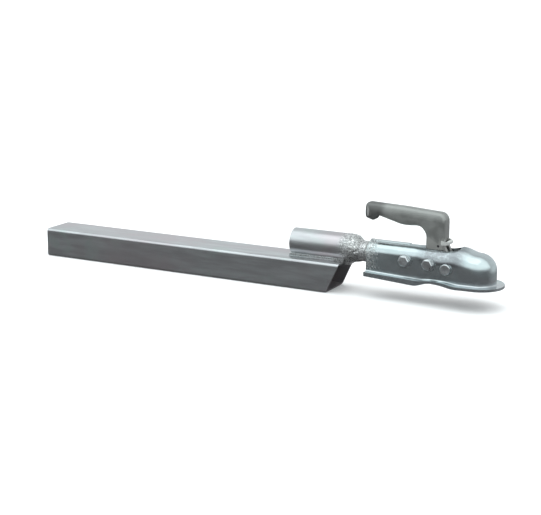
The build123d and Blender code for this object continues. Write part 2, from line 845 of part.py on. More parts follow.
class Coil:
    """A round wire wound as a helix that climbs a plane's axis."""

    def __init__(self, plane, outer_diameter, wire_diameter, turns, length):
        self.plane = plane
        self.wire_diameter = wire_diameter
        self.radius = (outer_diameter - wire_diameter) / 2
        self.turns = turns
        self.climb = (length - wire_diameter) / (2 * pi * turns)

    def point(self, angle):
        """Return the wire's centre at an angle from the start."""
        across = self.plane.x_dir * (self.radius * cos(angle)) + self.plane.y_dir * (self.radius * sin(angle))
        return self.plane.origin + across + self.plane.z_dir * (self.wire_diameter / 2 + self.climb * angle)

    def heading(self, angle):
        """Return the wire's direction at an angle from the start."""
        across = self.plane.y_dir * (self.radius * cos(angle)) - self.plane.x_dir * (self.radius * sin(angle))
        return (across + self.plane.z_dir * self.climb).normalized()

    def draw(self):
        """Draw the wire's centre line as two tangent arcs for each half turn."""
        for half_turn in range(2 * self.turns):
            start, end = self.point(pi * half_turn), self.point(pi * half_turn + pi)
            leave, arrive = self.heading(pi * half_turn), self.heading(pi * half_turn + pi)
            span = end - start
            both = leave + arrive
            square = 2 * (leave.dot(arrive) - 1)
            slope = -2 * span.dot(both)
            reach = (-slope - sqrt(slope**2 - 4 * square * span.dot(span))) / (2 * square)
            middle = (start + leave * reach + end - arrive * reach) * 0.5
            TangentArc(start, middle, tangent=leave)
            TangentArc(middle, end, tangent=end - arrive * reach - start - leave * reach)

    def least_gap(self):
        """Return the smallest gap from one turn to the next, measured on points."""
        steps = 24
        angles = [2 * pi * step / steps for step in range(self.turns * steps + 1)]
        points = [self.point(angle) for angle in angles]
        near = [
            (points[j] - points[i]).length
            for i in range(len(points))
            for j in range(i + steps * 3 // 4, min(i + steps * 5 // 4, len(points)))
        ]
        return min(near) - self.wire_diameter

    def start_plane(self):
        """Return the plane square to the wire at its start."""
        return Plane(origin=self.point(0), z_dir=self.heading(0))


# Handle spring between the abutment and the lever
lever_point = (pin_point[0] - lever_back, pin_point[1] - lever_reach)
lever_face_to_ball = pivot_to_ball + max(hub_radius, lever_back + lever_radius)
handle_spring_length = abutment_to_ball - lever_face_to_ball - 2 * spring_end_gap
handle_coil = Coil(
    Plane(origin=(-abutment_to_ball + spring_end_gap, 0, spring_height), z_dir=(1, 0, 0)),
    spring_diameter,
    spring_wire,
    spring_turns,
    handle_spring_length,
)
with BuildPart() as handle_spring:
    with BuildLine():
        handle_coil.draw()
    with BuildSketch(handle_coil.start_plane()):
        Circle(spring_wire / 2)
    sweep()
save(handle_spring, "handle_spring")
print(f"handle spring least gap {handle_coil.least_gap():.2f} mm")

# Handle casting: hooked grip and post in side view, then web, hub, toe and lever
post_rear_x = -post_front_to_ball - post_length
catch_point = (-catch_pin_to_ball, catch_pin_height)
saddle_form = shell_form(saddle_gap)
with BuildPart() as handle:
    with BuildSketch(Plane.XZ.offset(-handle_width / 2)):
        with BuildLine():
            FilletPolyline(
                (-post_front_to_ball, post_foot_z),
                (-post_front_to_ball, grip_height - grip_front_drop),
                (-grip_middle_to_ball, grip_height - grip_middle_drop),
                (-grip_rear_to_ball, grip_height),
                (-grip_rear_to_ball, grip_height - hook_heel_depth),
                (-grip_rear_to_ball + hook_length, grip_height - hook_tip_depth),
                (-grip_rear_to_ball + throat_length, grip_height - throat_depth),
                (-grip_middle_to_ball, grip_height - grip_belly_depth),
                (post_rear_x, grip_height - grip_root_depth),
                (post_rear_x, post_foot_z),
                radius=[
                    grip_front_radius,
                    grip_crown_radius,
                    grip_rear_radius,
                    hook_radius,
                    hook_radius,
                    throat_radius,
                    grip_belly_radius,
                    grip_root_radius,
                ],
            )
            Line((post_rear_x, post_foot_z), (-post_front_to_ball, post_foot_z))
        make_face()
    extrude(amount=handle_width)
    side_faces = handle.faces().filter_by(Axis.Y)
    fillet(side_faces.edges(), handle_edge_radius)
    add(saddle_form, mode=Mode.SUBTRACT)
    with BuildSketch(Plane.XZ.offset(-web_width / 2)):
        with BuildLine():
            Polyline(
                (-web_rear_to_ball, catch_groove_top),
                (-web_rear_to_ball, pin_point[1] + hub_radius / 2),
                (pin_point[0] - hub_radius / 2, pin_point[1]),
                (pin_point[0] + hub_radius, pin_point[1]),
                (-post_front_to_ball, catch_pin_height),
                (-post_front_to_ball, catch_groove_top),
                close=True,
            )
        make_face()
    extrude(amount=web_width)
    toe_point = (pin_point[0] + toe_reach, pin_point[1] - toe_reach)
    for tip_point, tip_radius in ((toe_point, toe_radius), (lever_point, lever_radius)):
        with BuildSketch(Plane.XZ.offset(-web_width / 2)):
            with Locations(pin_point):
                Circle(hub_radius)
            with Locations(tip_point):
                Circle(tip_radius)
            make_hull()
        extrude(amount=web_width)
    cut_cross_hole(pin_point, bush_radius + press_gap, 2 * handle_width)
    with BuildSketch(Plane.XZ.offset(-catch_width / 2 - catch_side_gap)):
        with Locations((-catch_groove_to_ball, slot_cut_floor)):
            Rectangle(
                catch_groove_to_ball,
                catch_groove_top - slot_cut_floor,
                align=(Align.MIN, Align.MIN),
            )
        with Locations(pin_point):
            Circle(catch_groove_floor, mode=Mode.SUBTRACT)
    extrude(amount=catch_width + 2 * catch_side_gap, mode=Mode.SUBTRACT)
    cut_cross_hole(catch_point, catch_pin_diameter / 2 + press_gap, 2 * handle_width)
    with BuildSketch(Plane.XY.offset(catch_groove_top)):
        with Locations((-catch_spring_to_ball, 0)):
            Circle(catch_spring_diameter / 2 + catch_side_gap)
    extrude(amount=catch_pocket_depth, mode=Mode.SUBTRACT)
save(handle, "handle")

with BuildPart() as catch_pin:
    cross_cylinder(catch_point, catch_pin_diameter / 2, handle_width - 2 * catch_pin_recess)
save(catch_pin, "catch_pin")

# Safety catch: a leg behind the slot's rear edge, an arm, and a thumb tab whose ears clasp the post
catch_leg_x = -slot_rear_to_ball + catch_leg_gap
catch_tab_root_x = -post_front_to_ball + catch_tab_gap
catch_tab_rear_x = catch_tab_root_x - catch_ear_length
catch_arm_end_x = catch_tab_root_x + catch_arm_overlap
catch_tab_top_z = catch_tab_under_z + catch_tab_thickness
catch_tip_z = catch_tab_under_z + catch_tip_rise
catch_notch_width = handle_width + 2 * catch_ear_gap
with BuildPart() as catch_tab:
    with BuildSketch(Plane.XY.offset(catch_tab_under_z)):
        with Locations((catch_tab_rear_x, 0)):
            RectangleRounded(
                2 * catch_tab_length,
                catch_notch_width + 2 * catch_ear_wall,
                catch_tab_corner,
            )
        with Locations((catch_tab_root_x, 0)):
            Rectangle(
                4 * catch_tab_length,
                catch_notch_width,
                align=(Align.MAX, Align.CENTER),
                mode=Mode.SUBTRACT,
            )
    extrude(amount=catch_tab_thickness)
    with BuildSketch(Plane.XZ.offset(-handle_width)):
        with BuildLine():
            Polyline(
                (catch_tab_rear_x, catch_tab_under_z),
                (catch_tab_root_x, catch_tab_under_z),
                (catch_tab_rear_x + catch_tab_length, catch_tip_z),
                (catch_tab_rear_x + catch_tab_length, catch_tip_z + catch_tip_thickness),
                (catch_tab_rear_x, catch_tab_top_z),
                close=True,
            )
        make_face()
    extrude(amount=2 * handle_width, mode=Mode.INTERSECT)
with BuildPart() as safety_catch:
    with BuildSketch(Plane.XZ.offset(-catch_width / 2)):
        with Locations(catch_point):
            Circle(catch_boss_radius)
        with BuildLine():
            Polyline(
                (catch_leg_x, catch_pin_height),
                (catch_leg_x, catch_leg_z),
                (catch_leg_x + catch_leg_length, catch_leg_z),
                (catch_leg_x + catch_leg_length, catch_pin_height - catch_boss_radius),
                (catch_arm_end_x, catch_tab_under_z),
                (catch_arm_end_x, catch_arm_top_z),
                (-catch_pin_to_ball, catch_pin_height + catch_boss_radius),
                close=True,
            )
        make_face()
    extrude(amount=catch_width)
    add(catch_tab.part)
    cut_cross_hole(catch_point, catch_pin_diameter / 2 + catch_running_gap, 2 * catch_width)
save(safety_catch, "safety_catch")

# Catch spring between the arm and the bottom of its pocket
arm_slope = (catch_arm_top_z - catch_pin_height - catch_boss_radius) / (
    catch_pin_to_ball + catch_arm_end_x
)
arm_top_z = catch_pin_height + catch_boss_radius + arm_slope * (
    catch_pin_to_ball - catch_spring_to_ball + catch_spring_diameter / 2
)
catch_coil_floor = arm_top_z + spring_end_gap
catch_coil = Coil(
    Plane(origin=(-catch_spring_to_ball, 0, catch_coil_floor), z_dir=(0, 0, 1)),
    catch_spring_diameter,
    catch_spring_wire,
    catch_spring_turns,
    catch_groove_top + catch_pocket_depth - spring_end_gap - catch_coil_floor,
)
with BuildPart() as catch_spring:
    with BuildLine():
        catch_coil.draw()
    with BuildSketch(catch_coil.start_plane()):
        Circle(catch_spring_wire / 2)
    sweep()
save(catch_spring, "catch_spring")
print(f"catch spring least gap {catch_coil.least_gap():.2f} mm")
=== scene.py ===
"""Finishes, welds, grains and studio for a galvanised drawbar with a ball coupling head."""

import json
import logging
import math
from dataclasses import dataclass
from enum import Enum

import bmesh
import bpy
import numpy as np
from mathutils import Matrix, Vector, noise


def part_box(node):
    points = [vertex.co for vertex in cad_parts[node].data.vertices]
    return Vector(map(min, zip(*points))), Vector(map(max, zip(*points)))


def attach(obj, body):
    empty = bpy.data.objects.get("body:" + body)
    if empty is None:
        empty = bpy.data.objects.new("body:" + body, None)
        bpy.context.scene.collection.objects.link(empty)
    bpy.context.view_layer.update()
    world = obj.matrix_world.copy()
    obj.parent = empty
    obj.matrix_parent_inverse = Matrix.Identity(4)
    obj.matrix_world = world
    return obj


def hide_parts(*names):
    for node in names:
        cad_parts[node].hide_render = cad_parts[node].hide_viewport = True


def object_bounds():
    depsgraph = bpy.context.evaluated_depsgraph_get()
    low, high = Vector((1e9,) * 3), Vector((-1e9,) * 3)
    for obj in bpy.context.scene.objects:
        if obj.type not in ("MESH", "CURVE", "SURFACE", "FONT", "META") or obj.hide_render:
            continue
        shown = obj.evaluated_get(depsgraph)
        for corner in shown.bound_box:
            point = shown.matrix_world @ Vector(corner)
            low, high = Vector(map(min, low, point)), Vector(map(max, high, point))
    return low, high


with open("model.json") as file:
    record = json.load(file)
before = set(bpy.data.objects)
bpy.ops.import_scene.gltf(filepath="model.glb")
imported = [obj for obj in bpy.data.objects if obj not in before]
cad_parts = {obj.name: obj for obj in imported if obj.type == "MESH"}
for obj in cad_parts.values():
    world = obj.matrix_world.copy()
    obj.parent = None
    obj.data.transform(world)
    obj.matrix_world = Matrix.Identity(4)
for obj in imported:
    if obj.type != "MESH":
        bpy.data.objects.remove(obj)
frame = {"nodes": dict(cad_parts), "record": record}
CAD_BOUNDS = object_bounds()

LOG = logging.getLogger("drawbar")
MM = 0.001
MERGE = 0.001 * MM
Colour = tuple[float, float, float]
Triple = tuple[float, float, float]
Span = tuple[float, float]
Object = bpy.types.Object
Socket = bpy.types.NodeSocket
Value = Socket | bpy.types.Material | float | int | Triple


class Slot(Enum):
    """The record's material slots."""

    GALVANISED = "galvanised_steel"
    WELD = "galvanised_weld"
    SHEET = "zinc_plated_sheet"
    DARK = "dark_steel"
    FORGED = "forged_steel"
    CAST = "grey_casting"
    BRIGHT = "bright_zinc"
    BRONZE = "bush_bronze"
    SPRING = "spring_steel"
    TAB = "pale_zinc_tab"


class Body(Enum):
    """The bodies that carry new pieces."""

    DRAWBAR = "drawbar"
    HANDLE = "handle"


class Axis(Enum):
    """The drawbar's axes: X along the beam, Y across it and Z up."""

    X = 0
    Y = 1
    Z = 2


class Operation(Enum):
    """How two values are combined."""

    ADD = "ADD"
    MULTIPLY = "MULTIPLY"
    MAXIMUM = "MAXIMUM"


@dataclass(frozen=True)
class Zone:
    """A stretch of the drawbar along X, above a lowest height, that fades out at its ends."""

    start: float
    full: float
    fade: float
    end: float
    bottom: float
    soft: float


# Rough, grainy zinc covers the welded joint: it starts on the stub and fades out on the head
CRUST = Zone(-280.0 * MM, -262.0 * MM, -213.0 * MM, -188.0 * MM, bottom=-18.0 * MM, soft=14.0 * MM)
# Painted shade: a darker patch on the head's crown beside the handle's foot dims the crown's highlight
PAINTED_CROWN_SHADE = Zone(-122.0 * MM, -92.0 * MM, -34.0 * MM, -10.0 * MM, bottom=4.0 * MM, soft=8.0 * MM)


class NodeBoard:
    """Adds nodes to one node tree and joins them."""

    def __init__(self, tree: bpy.types.NodeTree) -> None:
        """Keep the tree that the nodes go in."""
        self.tree = tree

    def give(self, target: Socket, value: Value) -> None:
        """Link a value to an input, or set it.

        Args:
            target: the input.
            value: a socket that gives the value, or the value itself.
        """
        if isinstance(value, Socket):
            self.tree.links.new(value, target)
        else:
            target.default_value = (*value, 1.0) if target.type == "RGBA" else value

    def fill(self, node: bpy.types.Node, **inputs: Value) -> None:
        """Fill some inputs of a node.

        Args:
            node: the node.
            **inputs: the value for each input, by its name with underscores for spaces.
        """
        live = [socket for socket in node.inputs if socket.enabled]
        for name, value in inputs.items():
            self.give(next(socket for socket in live if socket.name == name.replace("_", " ")), value)

    def node(self, kind: str, settings: dict[str, str] | None = None, **inputs: Value) -> bpy.types.Node:
        """Add a node.

        Args:
            kind: the node's type.
            settings: the node's settings, by name.
            **inputs: the value for each input that is filled.

        Returns:
            The node.
        """
        node = self.tree.nodes.new(kind)
        for name, value in (settings or {}).items():
            setattr(node, name, value)
        self.fill(node, **inputs)
        return node

    def spread(self, value: Socket, span: Span, to: Span = (0.0, 1.0)) -> Socket:
        """Stretch a range of a value to another range, smoothly and clamped.

        Args:
            value: the value read.
            span: the two values that become the ends of the result.
            to: the two ends of the result.

        Returns:
            The new value.
        """
        ends = {"From_Min": span[0], "From_Max": span[1], "To_Min": to[0], "To_Max": to[1]}
        node = self.node("ShaderNodeMapRange", {"interpolation_type": "SMOOTHSTEP"}, Value=value, **ends)
        return node.outputs["Result"]

    def blend(self, under: Colour | Socket, *layers: tuple[Socket, Colour]) -> Socket:
        """Lay colours over one another.

        Args:
            under: the colour under all others.
            *layers: how much of each further colour shows, and the colour.

        Returns:
            The mixed colour.
        """
        for share, colour in layers:
            node = self.node("ShaderNodeMix", {"data_type": "RGBA"}, Factor=share, A=under, B=colour)
            under = node.outputs["Result"]
        return under

    def join(self, first: Socket, second: Value, operation: Operation = Operation.MULTIPLY) -> Socket:
        """Combine two values.

        Args:
            first: the first value.
            second: the second value.
            operation: how they are combined.

        Returns:
            The result.
        """
        node = self.node("ShaderNodeMath", {"operation": operation.value})
        for socket, value in zip(node.inputs, (first, second)):
            self.give(socket, value)
        return node.outputs["Value"]


class ShaderTree(NodeBoard):
    """Builds one procedural material around a Principled shader."""

    def __init__(self, name: str) -> None:
        """Start an empty material.

        Args:
            name: the material's name.
        """
        self.material = bpy.data.materials.new(name)
        self.material.use_nodes = True
        super().__init__(self.material.node_tree)
        self.tree.nodes.clear()
        self.shader = self.node("ShaderNodeBsdfPrincipled")
        self.node("ShaderNodeOutputMaterial", Surface=self.shader.outputs["BSDF"])
        self.place = self.node("ShaderNodeTexCoord").outputs["Object"]

    def noise(
        self,
        scale: float,
        detail: float = 4.0,
        rough: float = 0.55,
        stretch: Triple = (1.0, 1.0, 1.0),
        distortion: float = 0.0,
    ) -> Socket:
        """Add a noise texture on the object's coordinates.

        Args:
            scale: cells per metre.
            detail: number of octaves.
            rough: weight of the finer octaves.
            stretch: factor along each axis; a small one draws the pattern out along it.
            distortion: how much the pattern is warped.

        Returns:
            The noise value, about 0.5 on average.
        """
        spot = self.node("ShaderNodeMapping", Vector=self.place, Scale=stretch).outputs["Vector"]
        fine = {"Detail": detail, "Roughness": rough, "Distortion": distortion}
        return self.node("ShaderNodeTexNoise", Vector=spot, Scale=scale, **fine).outputs["Fac"]

    def cells(self, scale: float, smooth: bool = False) -> Socket:
        """Add a cell texture on the object's coordinates.

        Args:
            scale: cells per metre.
            smooth: give the distance to each cell's middle in place of its grey value.

        Returns:
            The distance, or the cell's own value.
        """
        node = self.node("ShaderNodeTexVoronoi", Vector=self.place, Scale=scale)
        if smooth:
            return node.outputs["Distance"]
        return self.node("ShaderNodeRGBToBW", Color=node.outputs["Color"]).outputs["Val"]

    def ramp_along(self, axis: Axis, start: float, end: float) -> Socket:
        """Return a value that rises from 0 at the start to 1 at the end, along an axis of the object."""
        split = self.node("ShaderNodeSeparateXYZ", Vector=self.place)
        return self.spread(split.outputs[axis.name], (start, end))

    def inside(self, zone: Zone) -> Socket:
        """Tell how far a place lies inside a zone.

        Args:
            zone: the zone.

        Returns:
            1 inside it, falling smoothly to 0 at its ends and its bottom.
        """
        rise = self.ramp_along(Axis.X, zone.start, zone.full)
        fall = self.ramp_along(Axis.X, zone.end, zone.fade)
        high = self.ramp_along(Axis.Z, zone.bottom, zone.bottom + zone.soft)
        return self.join(self.join(rise, fall), high)

    def edge_wear(self, radius: float) -> Socket:
        """Find the convex edges from the mesh's pointiness.

        Args:
            radius: how far above flat the value has to be to count fully.

        Returns:
            1 on convex edges and 0 on flat faces.
        """
        flat = 0.5
        pointy = self.node("ShaderNodeNewGeometry").outputs["Pointiness"]
        return self.spread(pointy, (flat, flat + radius))

    def bump(self, height: Socket, strength: float, depth: float) -> None:
        """Add a bump on top of those already there.

        Args:
            height: the height value, from 0 to 1.
            strength: how much of it shows.
            depth: real depth of a full step, in metres.
        """
        node = self.node("ShaderNodeBump", Height=height, Strength=strength, Distance=depth)
        normal = self.shader.inputs["Normal"]
        if normal.is_linked:
            self.give(node.inputs["Normal"], normal.links[0].from_socket)
        self.give(normal, node.outputs["Normal"])

    def settle(self, **inputs: Value) -> None:
        """Fill the shader's inputs, by their names with underscores for spaces."""
        self.fill(self.shader, **inputs)


class Finish:
    """A finish that can make its own material."""

    def build(self) -> bpy.types.Material:
        """Make the material."""
        raise NotImplementedError


@dataclass(frozen=True)
class ZincFinish(Finish):
    """Zinc on steel: satin metal with streaks, clouds and fine grain, crusted by the welded joint."""

    name: str
    pale: Colour
    dark: Colour
    tint: Colour
    warm: Colour
    smooth: float
    dull: float
    metallic: float = 0.9
    streaks: float = 75.0
    draw_out: Triple = (0.12, 1.0, 1.0)
    streak_span: Span = (0.36, 0.66)
    clouds: float = 22.0
    cloud_span: Span = (0.5, 0.7)
    cloud_share: float = 0.8
    regions: float = 7.0
    region_stretch: Triple = (0.5, 1.0, 1.0)
    region_span: Span = (0.44, 0.62)
    region_share: float = 0.85
    gloss_span: Span = (0.12, 0.42)
    wave_depth: float = 0.2 * MM
    grain: float = 900.0
    grain_depth: float = 0.03 * MM
    crust_pale: Colour = (0.86, 0.88, 0.87)
    crust_dark: Colour = (0.10, 0.10, 0.10)
    crust_cells: float = 430.0
    crust_pale_span: Span = (0.50, 0.60)
    crust_dark_span: Span = (0.47, 0.38)
    crust_dull: float = 0.08
    crust_depth: float = 0.9 * MM
    # painted shade: a darker patch on the head's crown that dims its highlight
    painted_shade_colour: Colour = (0.20, 0.21, 0.225)
    painted_shade_share: float = 0.0
    painted_shade_patches: float = 110.0
    painted_shade_stretch: Triple = (0.6, 1.0, 1.0)
    painted_shade_span: Span = (0.3, 0.55)
    painted_shade_least: float = 0.45

    def build(self) -> bpy.types.Material:
        """Make the material.

        Returns:
            The material.
        """
        tree = ShaderTree(self.name)
        streak = tree.noise(self.streaks, detail=6.0, rough=0.6, stretch=self.draw_out)
        cloud = tree.noise(self.clouds, detail=5.0, distortion=0.6)
        region = tree.noise(self.regions, rough=0.5, stretch=self.region_stretch, distortion=0.8)
        crust = tree.inside(CRUST)
        speck = tree.noise(self.crust_cells, detail=3.0, rough=0.75)
        colour = tree.blend(
            self.dark,
            (tree.spread(streak, self.streak_span), self.pale),
            (tree.spread(cloud, self.cloud_span, (0.0, self.cloud_share)), self.tint),
            (tree.spread(region, self.region_span, (0.0, self.region_share)), self.warm),
            (tree.join(crust, tree.spread(speck, self.crust_pale_span)), self.crust_pale),
            (tree.join(crust, tree.spread(speck, self.crust_dark_span)), self.crust_dark),
            # painted shade on the head's crown
            (self.painted_crown_shade(tree), self.painted_shade_colour),
        )
        gloss = tree.spread(tree.join(streak, cloud), self.gloss_span, (self.smooth, self.dull))
        rough = tree.join(gloss, tree.join(crust, self.crust_dull), Operation.ADD)
        tree.settle(Base_Color=colour, Roughness=rough, Metallic=self.metallic)
        tree.bump(tree.noise(self.clouds, detail=3.0), strength=0.3, depth=self.wave_depth)
        tree.bump(tree.noise(self.grain, detail=3.0), strength=0.35, depth=self.grain_depth)
        tree.bump(tree.join(crust, speck), strength=0.9, depth=self.crust_depth)
        return tree.material

    def painted_crown_shade(self, tree: ShaderTree) -> Socket:
        """Tell how much painted shade darkens the zinc on the head's crown.

        Args:
            tree: the material's nodes.

        Returns:
            The painted shade's share, broken up into patches.
        """
        patch = tree.noise(self.painted_shade_patches, detail=5.0, rough=0.7, stretch=self.painted_shade_stretch)
        broken = tree.spread(patch, self.painted_shade_span, (self.painted_shade_least, 1.0))
        return tree.join(tree.join(tree.inside(PAINTED_CROWN_SHADE), broken), self.painted_shade_share)


@dataclass(frozen=True)
class WeldFinish(Finish):
    """Galvanised weld: lumpy with bright grains and dark pores at the joint, calm along the stub, with
    painted shade towards the bottom.
    """

    name: str
    pale: Colour
    dark: Colour
    pore: Colour
    run: Colour
    metallic: float = 0.92
    lumps: float = 330.0
    lump_span: Span = (0.35, 0.62)
    lump_depth: float = 0.9 * MM
    grains: float = 850.0
    grain_span: Span = (0.62, 0.8)
    grain_share: float = 0.75
    pits: float = 620.0
    pit_depth: float = 0.5 * MM
    gloss_span: Span = (0.3, 0.7)
    gloss: Span = (0.2, 0.4)
    lead_in: float = 20.0 * MM
    calm_share: float = 0.8
    calm_bump: float = 0.25
    # painted shade: the weld is darkened towards the bottom, below this height
    under_shade_top: float = 14.0 * MM
    under_shade_bottom: float = 0.0
    under_shade_share: float = 0.4

    def build(self) -> bpy.types.Material:
        """Make the material.

        Returns:
            The material.
        """
        tree = ShaderTree(self.name)
        lumps = tree.noise(self.lumps, detail=6.0, rough=0.72, distortion=0.8)
        grains = tree.spread(tree.cells(self.grains), self.grain_span, (0.0, self.grain_share))
        # painted shade, darker towards the bottom, laid in the pore colour
        low = tree.join(tree.ramp_along(Axis.Z, self.under_shade_top, self.under_shade_bottom), self.under_shade_share)
        joint = tree.ramp_along(Axis.X, CRUST.start - self.lead_in, CRUST.start)
        colour = tree.blend(
            self.dark,
            (tree.spread(lumps, self.lump_span), self.pale),
            (grains, self.pore),
            (low, self.pore),
            (tree.spread(joint, (0.0, 1.0), (self.calm_share, 0.0)), self.run),
        )
        gloss = tree.spread(lumps, self.gloss_span, self.gloss)
        tree.settle(Base_Color=colour, Roughness=gloss, Metallic=self.metallic)
        share = tree.spread(joint, (0.0, 1.0), (self.calm_bump, 1.0))
        tree.bump(tree.join(lumps, share), strength=0.9, depth=self.lump_depth)
        pits = tree.cells(self.pits, smooth=True)
        tree.bump(tree.join(pits, share), strength=0.6, depth=self.pit_depth)
        return tree.material


@dataclass(frozen=True)
class CastFinish(Finish):
    """Sand casting: matt and finely pitted, paler where hands rub its edges, with painted shade at the hook's
    end.
    """

    name: str
    body: Colour
    shade: Colour
    rubbed: Colour
    # colour of the painted shade at the hook's end
    hook_shade_colour: Colour
    metallic: float = 0.8
    patches: float = 45.0
    patch_span: Span = (0.38, 0.68)
    sand: float = 1500.0
    sand_span: Span = (0.55, 0.75)
    sand_share: float = 0.35
    sand_depth: float = 0.12 * MM
    skin: float = 320.0
    skin_depth: float = 0.3 * MM
    wear: float = 0.06
    gloss_span: Span = (0.3, 0.7)
    gloss: Span = (0.42, 0.6)
    # painted shade: the hook's end is darkened between these two places
    hook_shade_start: float = -180.0 * MM
    hook_shade_full: float = -197.0 * MM
    hook_shade_share: float = 0.7

    def build(self) -> bpy.types.Material:
        """Make the material.

        Returns:
            The material.
        """
        tree = ShaderTree(self.name)
        patch = tree.noise(self.patches, detail=5.0, rough=0.6)
        sand = tree.noise(self.sand, detail=3.0, rough=0.7)
        # painted shade at the hook's end
        painted_hook_shade = tree.join(tree.ramp_along(Axis.X, self.hook_shade_start, self.hook_shade_full), self.hook_shade_share)
        colour = tree.blend(
            self.shade,
            (tree.spread(patch, self.patch_span), self.body),
            (tree.spread(sand, self.sand_span, (0.0, self.sand_share)), self.rubbed),
            (tree.edge_wear(self.wear), self.rubbed),
            (painted_hook_shade, self.hook_shade_colour),
        )
        gloss = tree.spread(patch, self.gloss_span, self.gloss)
        tree.settle(Base_Color=colour, Roughness=gloss, Metallic=self.metallic)
        tree.bump(sand, strength=0.5, depth=self.sand_depth)
        tree.bump(tree.noise(self.skin, rough=0.6), strength=0.4, depth=self.skin_depth)
        return tree.material


@dataclass(frozen=True)
class PlainMetalFinish(Finish):
    """Turned, drawn or forged metal with fine marks and a little grease."""

    name: str
    body: Colour
    mark: Colour
    rough: float = 0.35
    metallic: float = 1.0
    marks: float = 500.0
    mark_span: Span = (0.42, 0.7)
    mark_depth: float = 0.06 * MM
    patches: float = 60.0
    gloss_span: Span = (0.3, 0.7)
    least_rough: float = 0.75
    most_rough: float = 1.35

    def build(self) -> bpy.types.Material:
        """Make the material.

        Returns:
            The material.
        """
        tree = ShaderTree(self.name)
        scuff = tree.noise(self.marks, detail=5.0, rough=0.65)
        patch = tree.noise(self.patches, detail=3.0)
        colour = tree.blend(self.body, (tree.spread(scuff, self.mark_span), self.mark))
        ends = (self.rough * self.least_rough, self.rough * self.most_rough)
        gloss = tree.spread(patch, self.gloss_span, ends)
        tree.settle(Base_Color=colour, Roughness=gloss, Metallic=self.metallic)
        tree.bump(scuff, strength=0.3, depth=self.mark_depth)
        return tree.material


FINISHES: dict[Slot, Finish] = {
    Slot.GALVANISED: ZincFinish(
        "galvanised_tubes",
        pale=(0.54, 0.57, 0.58),
        dark=(0.43, 0.44, 0.455),
        tint=(0.47, 0.53, 0.52),
        warm=(0.49, 0.455, 0.475),
        smooth=0.31,
        dull=0.38,
    ),
    Slot.WELD: WeldFinish(
        "galvanised_weld",
        pale=(0.88, 0.90, 0.89),
        dark=(0.34, 0.35, 0.35),
        pore=(0.08, 0.08, 0.08),
        run=(0.52, 0.55, 0.55),
    ),
    Slot.SHEET: ZincFinish(
        "zinc_sheet",
        pale=(0.50, 0.57, 0.58),
        dark=(0.43, 0.50, 0.51),
        tint=(0.45, 0.53, 0.56),
        warm=(0.46, 0.49, 0.51),
        smooth=0.16,
        dull=0.27,
        streaks=60.0,
        draw_out=(0.35, 1.0, 1.0),
        wave_depth=0.1 * MM,
        # painted shade on the crown beside the handle's foot
        painted_shade_share=0.8,
    ),
    Slot.DARK: PlainMetalFinish("dark_steel", body=(0.07, 0.07, 0.075), mark=(0.15, 0.15, 0.155)),
    Slot.FORGED: PlainMetalFinish(
        "forged_steel", body=(0.24, 0.24, 0.25), mark=(0.36, 0.36, 0.37), rough=0.45
    ),
    Slot.CAST: CastFinish(
        "grey_casting",
        body=(0.33, 0.34, 0.33),
        shade=(0.27, 0.28, 0.27),
        rubbed=(0.41, 0.415, 0.40),
        # painted shade at the hook's end
        hook_shade_colour=(0.10, 0.10, 0.10),
    ),
    Slot.BRIGHT: PlainMetalFinish(
        "bright_zinc", body=(0.76, 0.80, 0.81), mark=(0.60, 0.64, 0.66), rough=0.36
    ),
    Slot.BRONZE: PlainMetalFinish("bush_bronze", body=(0.48, 0.34, 0.18), mark=(0.34, 0.24, 0.13), rough=0.4),
    Slot.SPRING: PlainMetalFinish("spring_wire", body=(0.16, 0.16, 0.17), mark=(0.26, 0.26, 0.27), rough=0.3),
    Slot.TAB: PlainMetalFinish(
        "thumb_tab", body=(0.66, 0.68, 0.66), mark=(0.52, 0.54, 0.52), rough=0.4, metallic=0.5
    ),
}


class Wardrobe:
    """Builds each finish once and dresses pieces and CAD nodes with it."""

    def __init__(self) -> None:
        """Build every finish."""
        self.materials = {slot: finish.build() for slot, finish in FINISHES.items()}
        self.slots = {part["node"]: Slot(part["material_slot"]) for part in frame["record"]["subparts"]}

    def dress_node(self, name: str) -> None:
        """Give a CAD node the finish of its own material slot.

        Args:
            name: the node's name.
        """
        for holder in frame["nodes"][name].material_slots:
            holder.material = self.materials[self.slots[name]]
        LOG.info("dressed %s in %s", name, self.slots[name].value)

    def seat_piece(self, piece: Object, slot: Slot, body: Body) -> None:
        """Let a finished piece ride on a body, in one finish.

        Args:
            piece: the new piece, already in place.
            slot: the finish it takes.
            body: the body that carries it.
        """
        piece.data.materials.clear()
        piece.data.materials.append(self.materials[slot])
        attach(piece, body.value)
        LOG.info("added %s with %d faces", piece.name, len(piece.data.polygons))


def put(name: str, data: bpy.types.ID) -> Object:
    """Put a new object in the scene.

    Args:
        name: its name.
        data: its mesh, light or camera.

    Returns:
        The object.
    """
    item = bpy.data.objects.new(name, data)
    bpy.context.scene.collection.objects.link(item)
    return item


def mesh_piece(name: str, form: bmesh.types.BMesh) -> Object:
    """Turn a finished bmesh into a smooth-shaded object in the scene.

    Args:
        name: the object's name.
        form: the mesh, which is freed.

    Returns:
        The object.
    """
    bmesh.ops.recalc_face_normals(form, faces=form.faces)
    mesh = bpy.data.meshes.new(name)
    form.to_mesh(mesh)
    form.free()
    mesh.shade_smooth()
    return put(name, mesh)


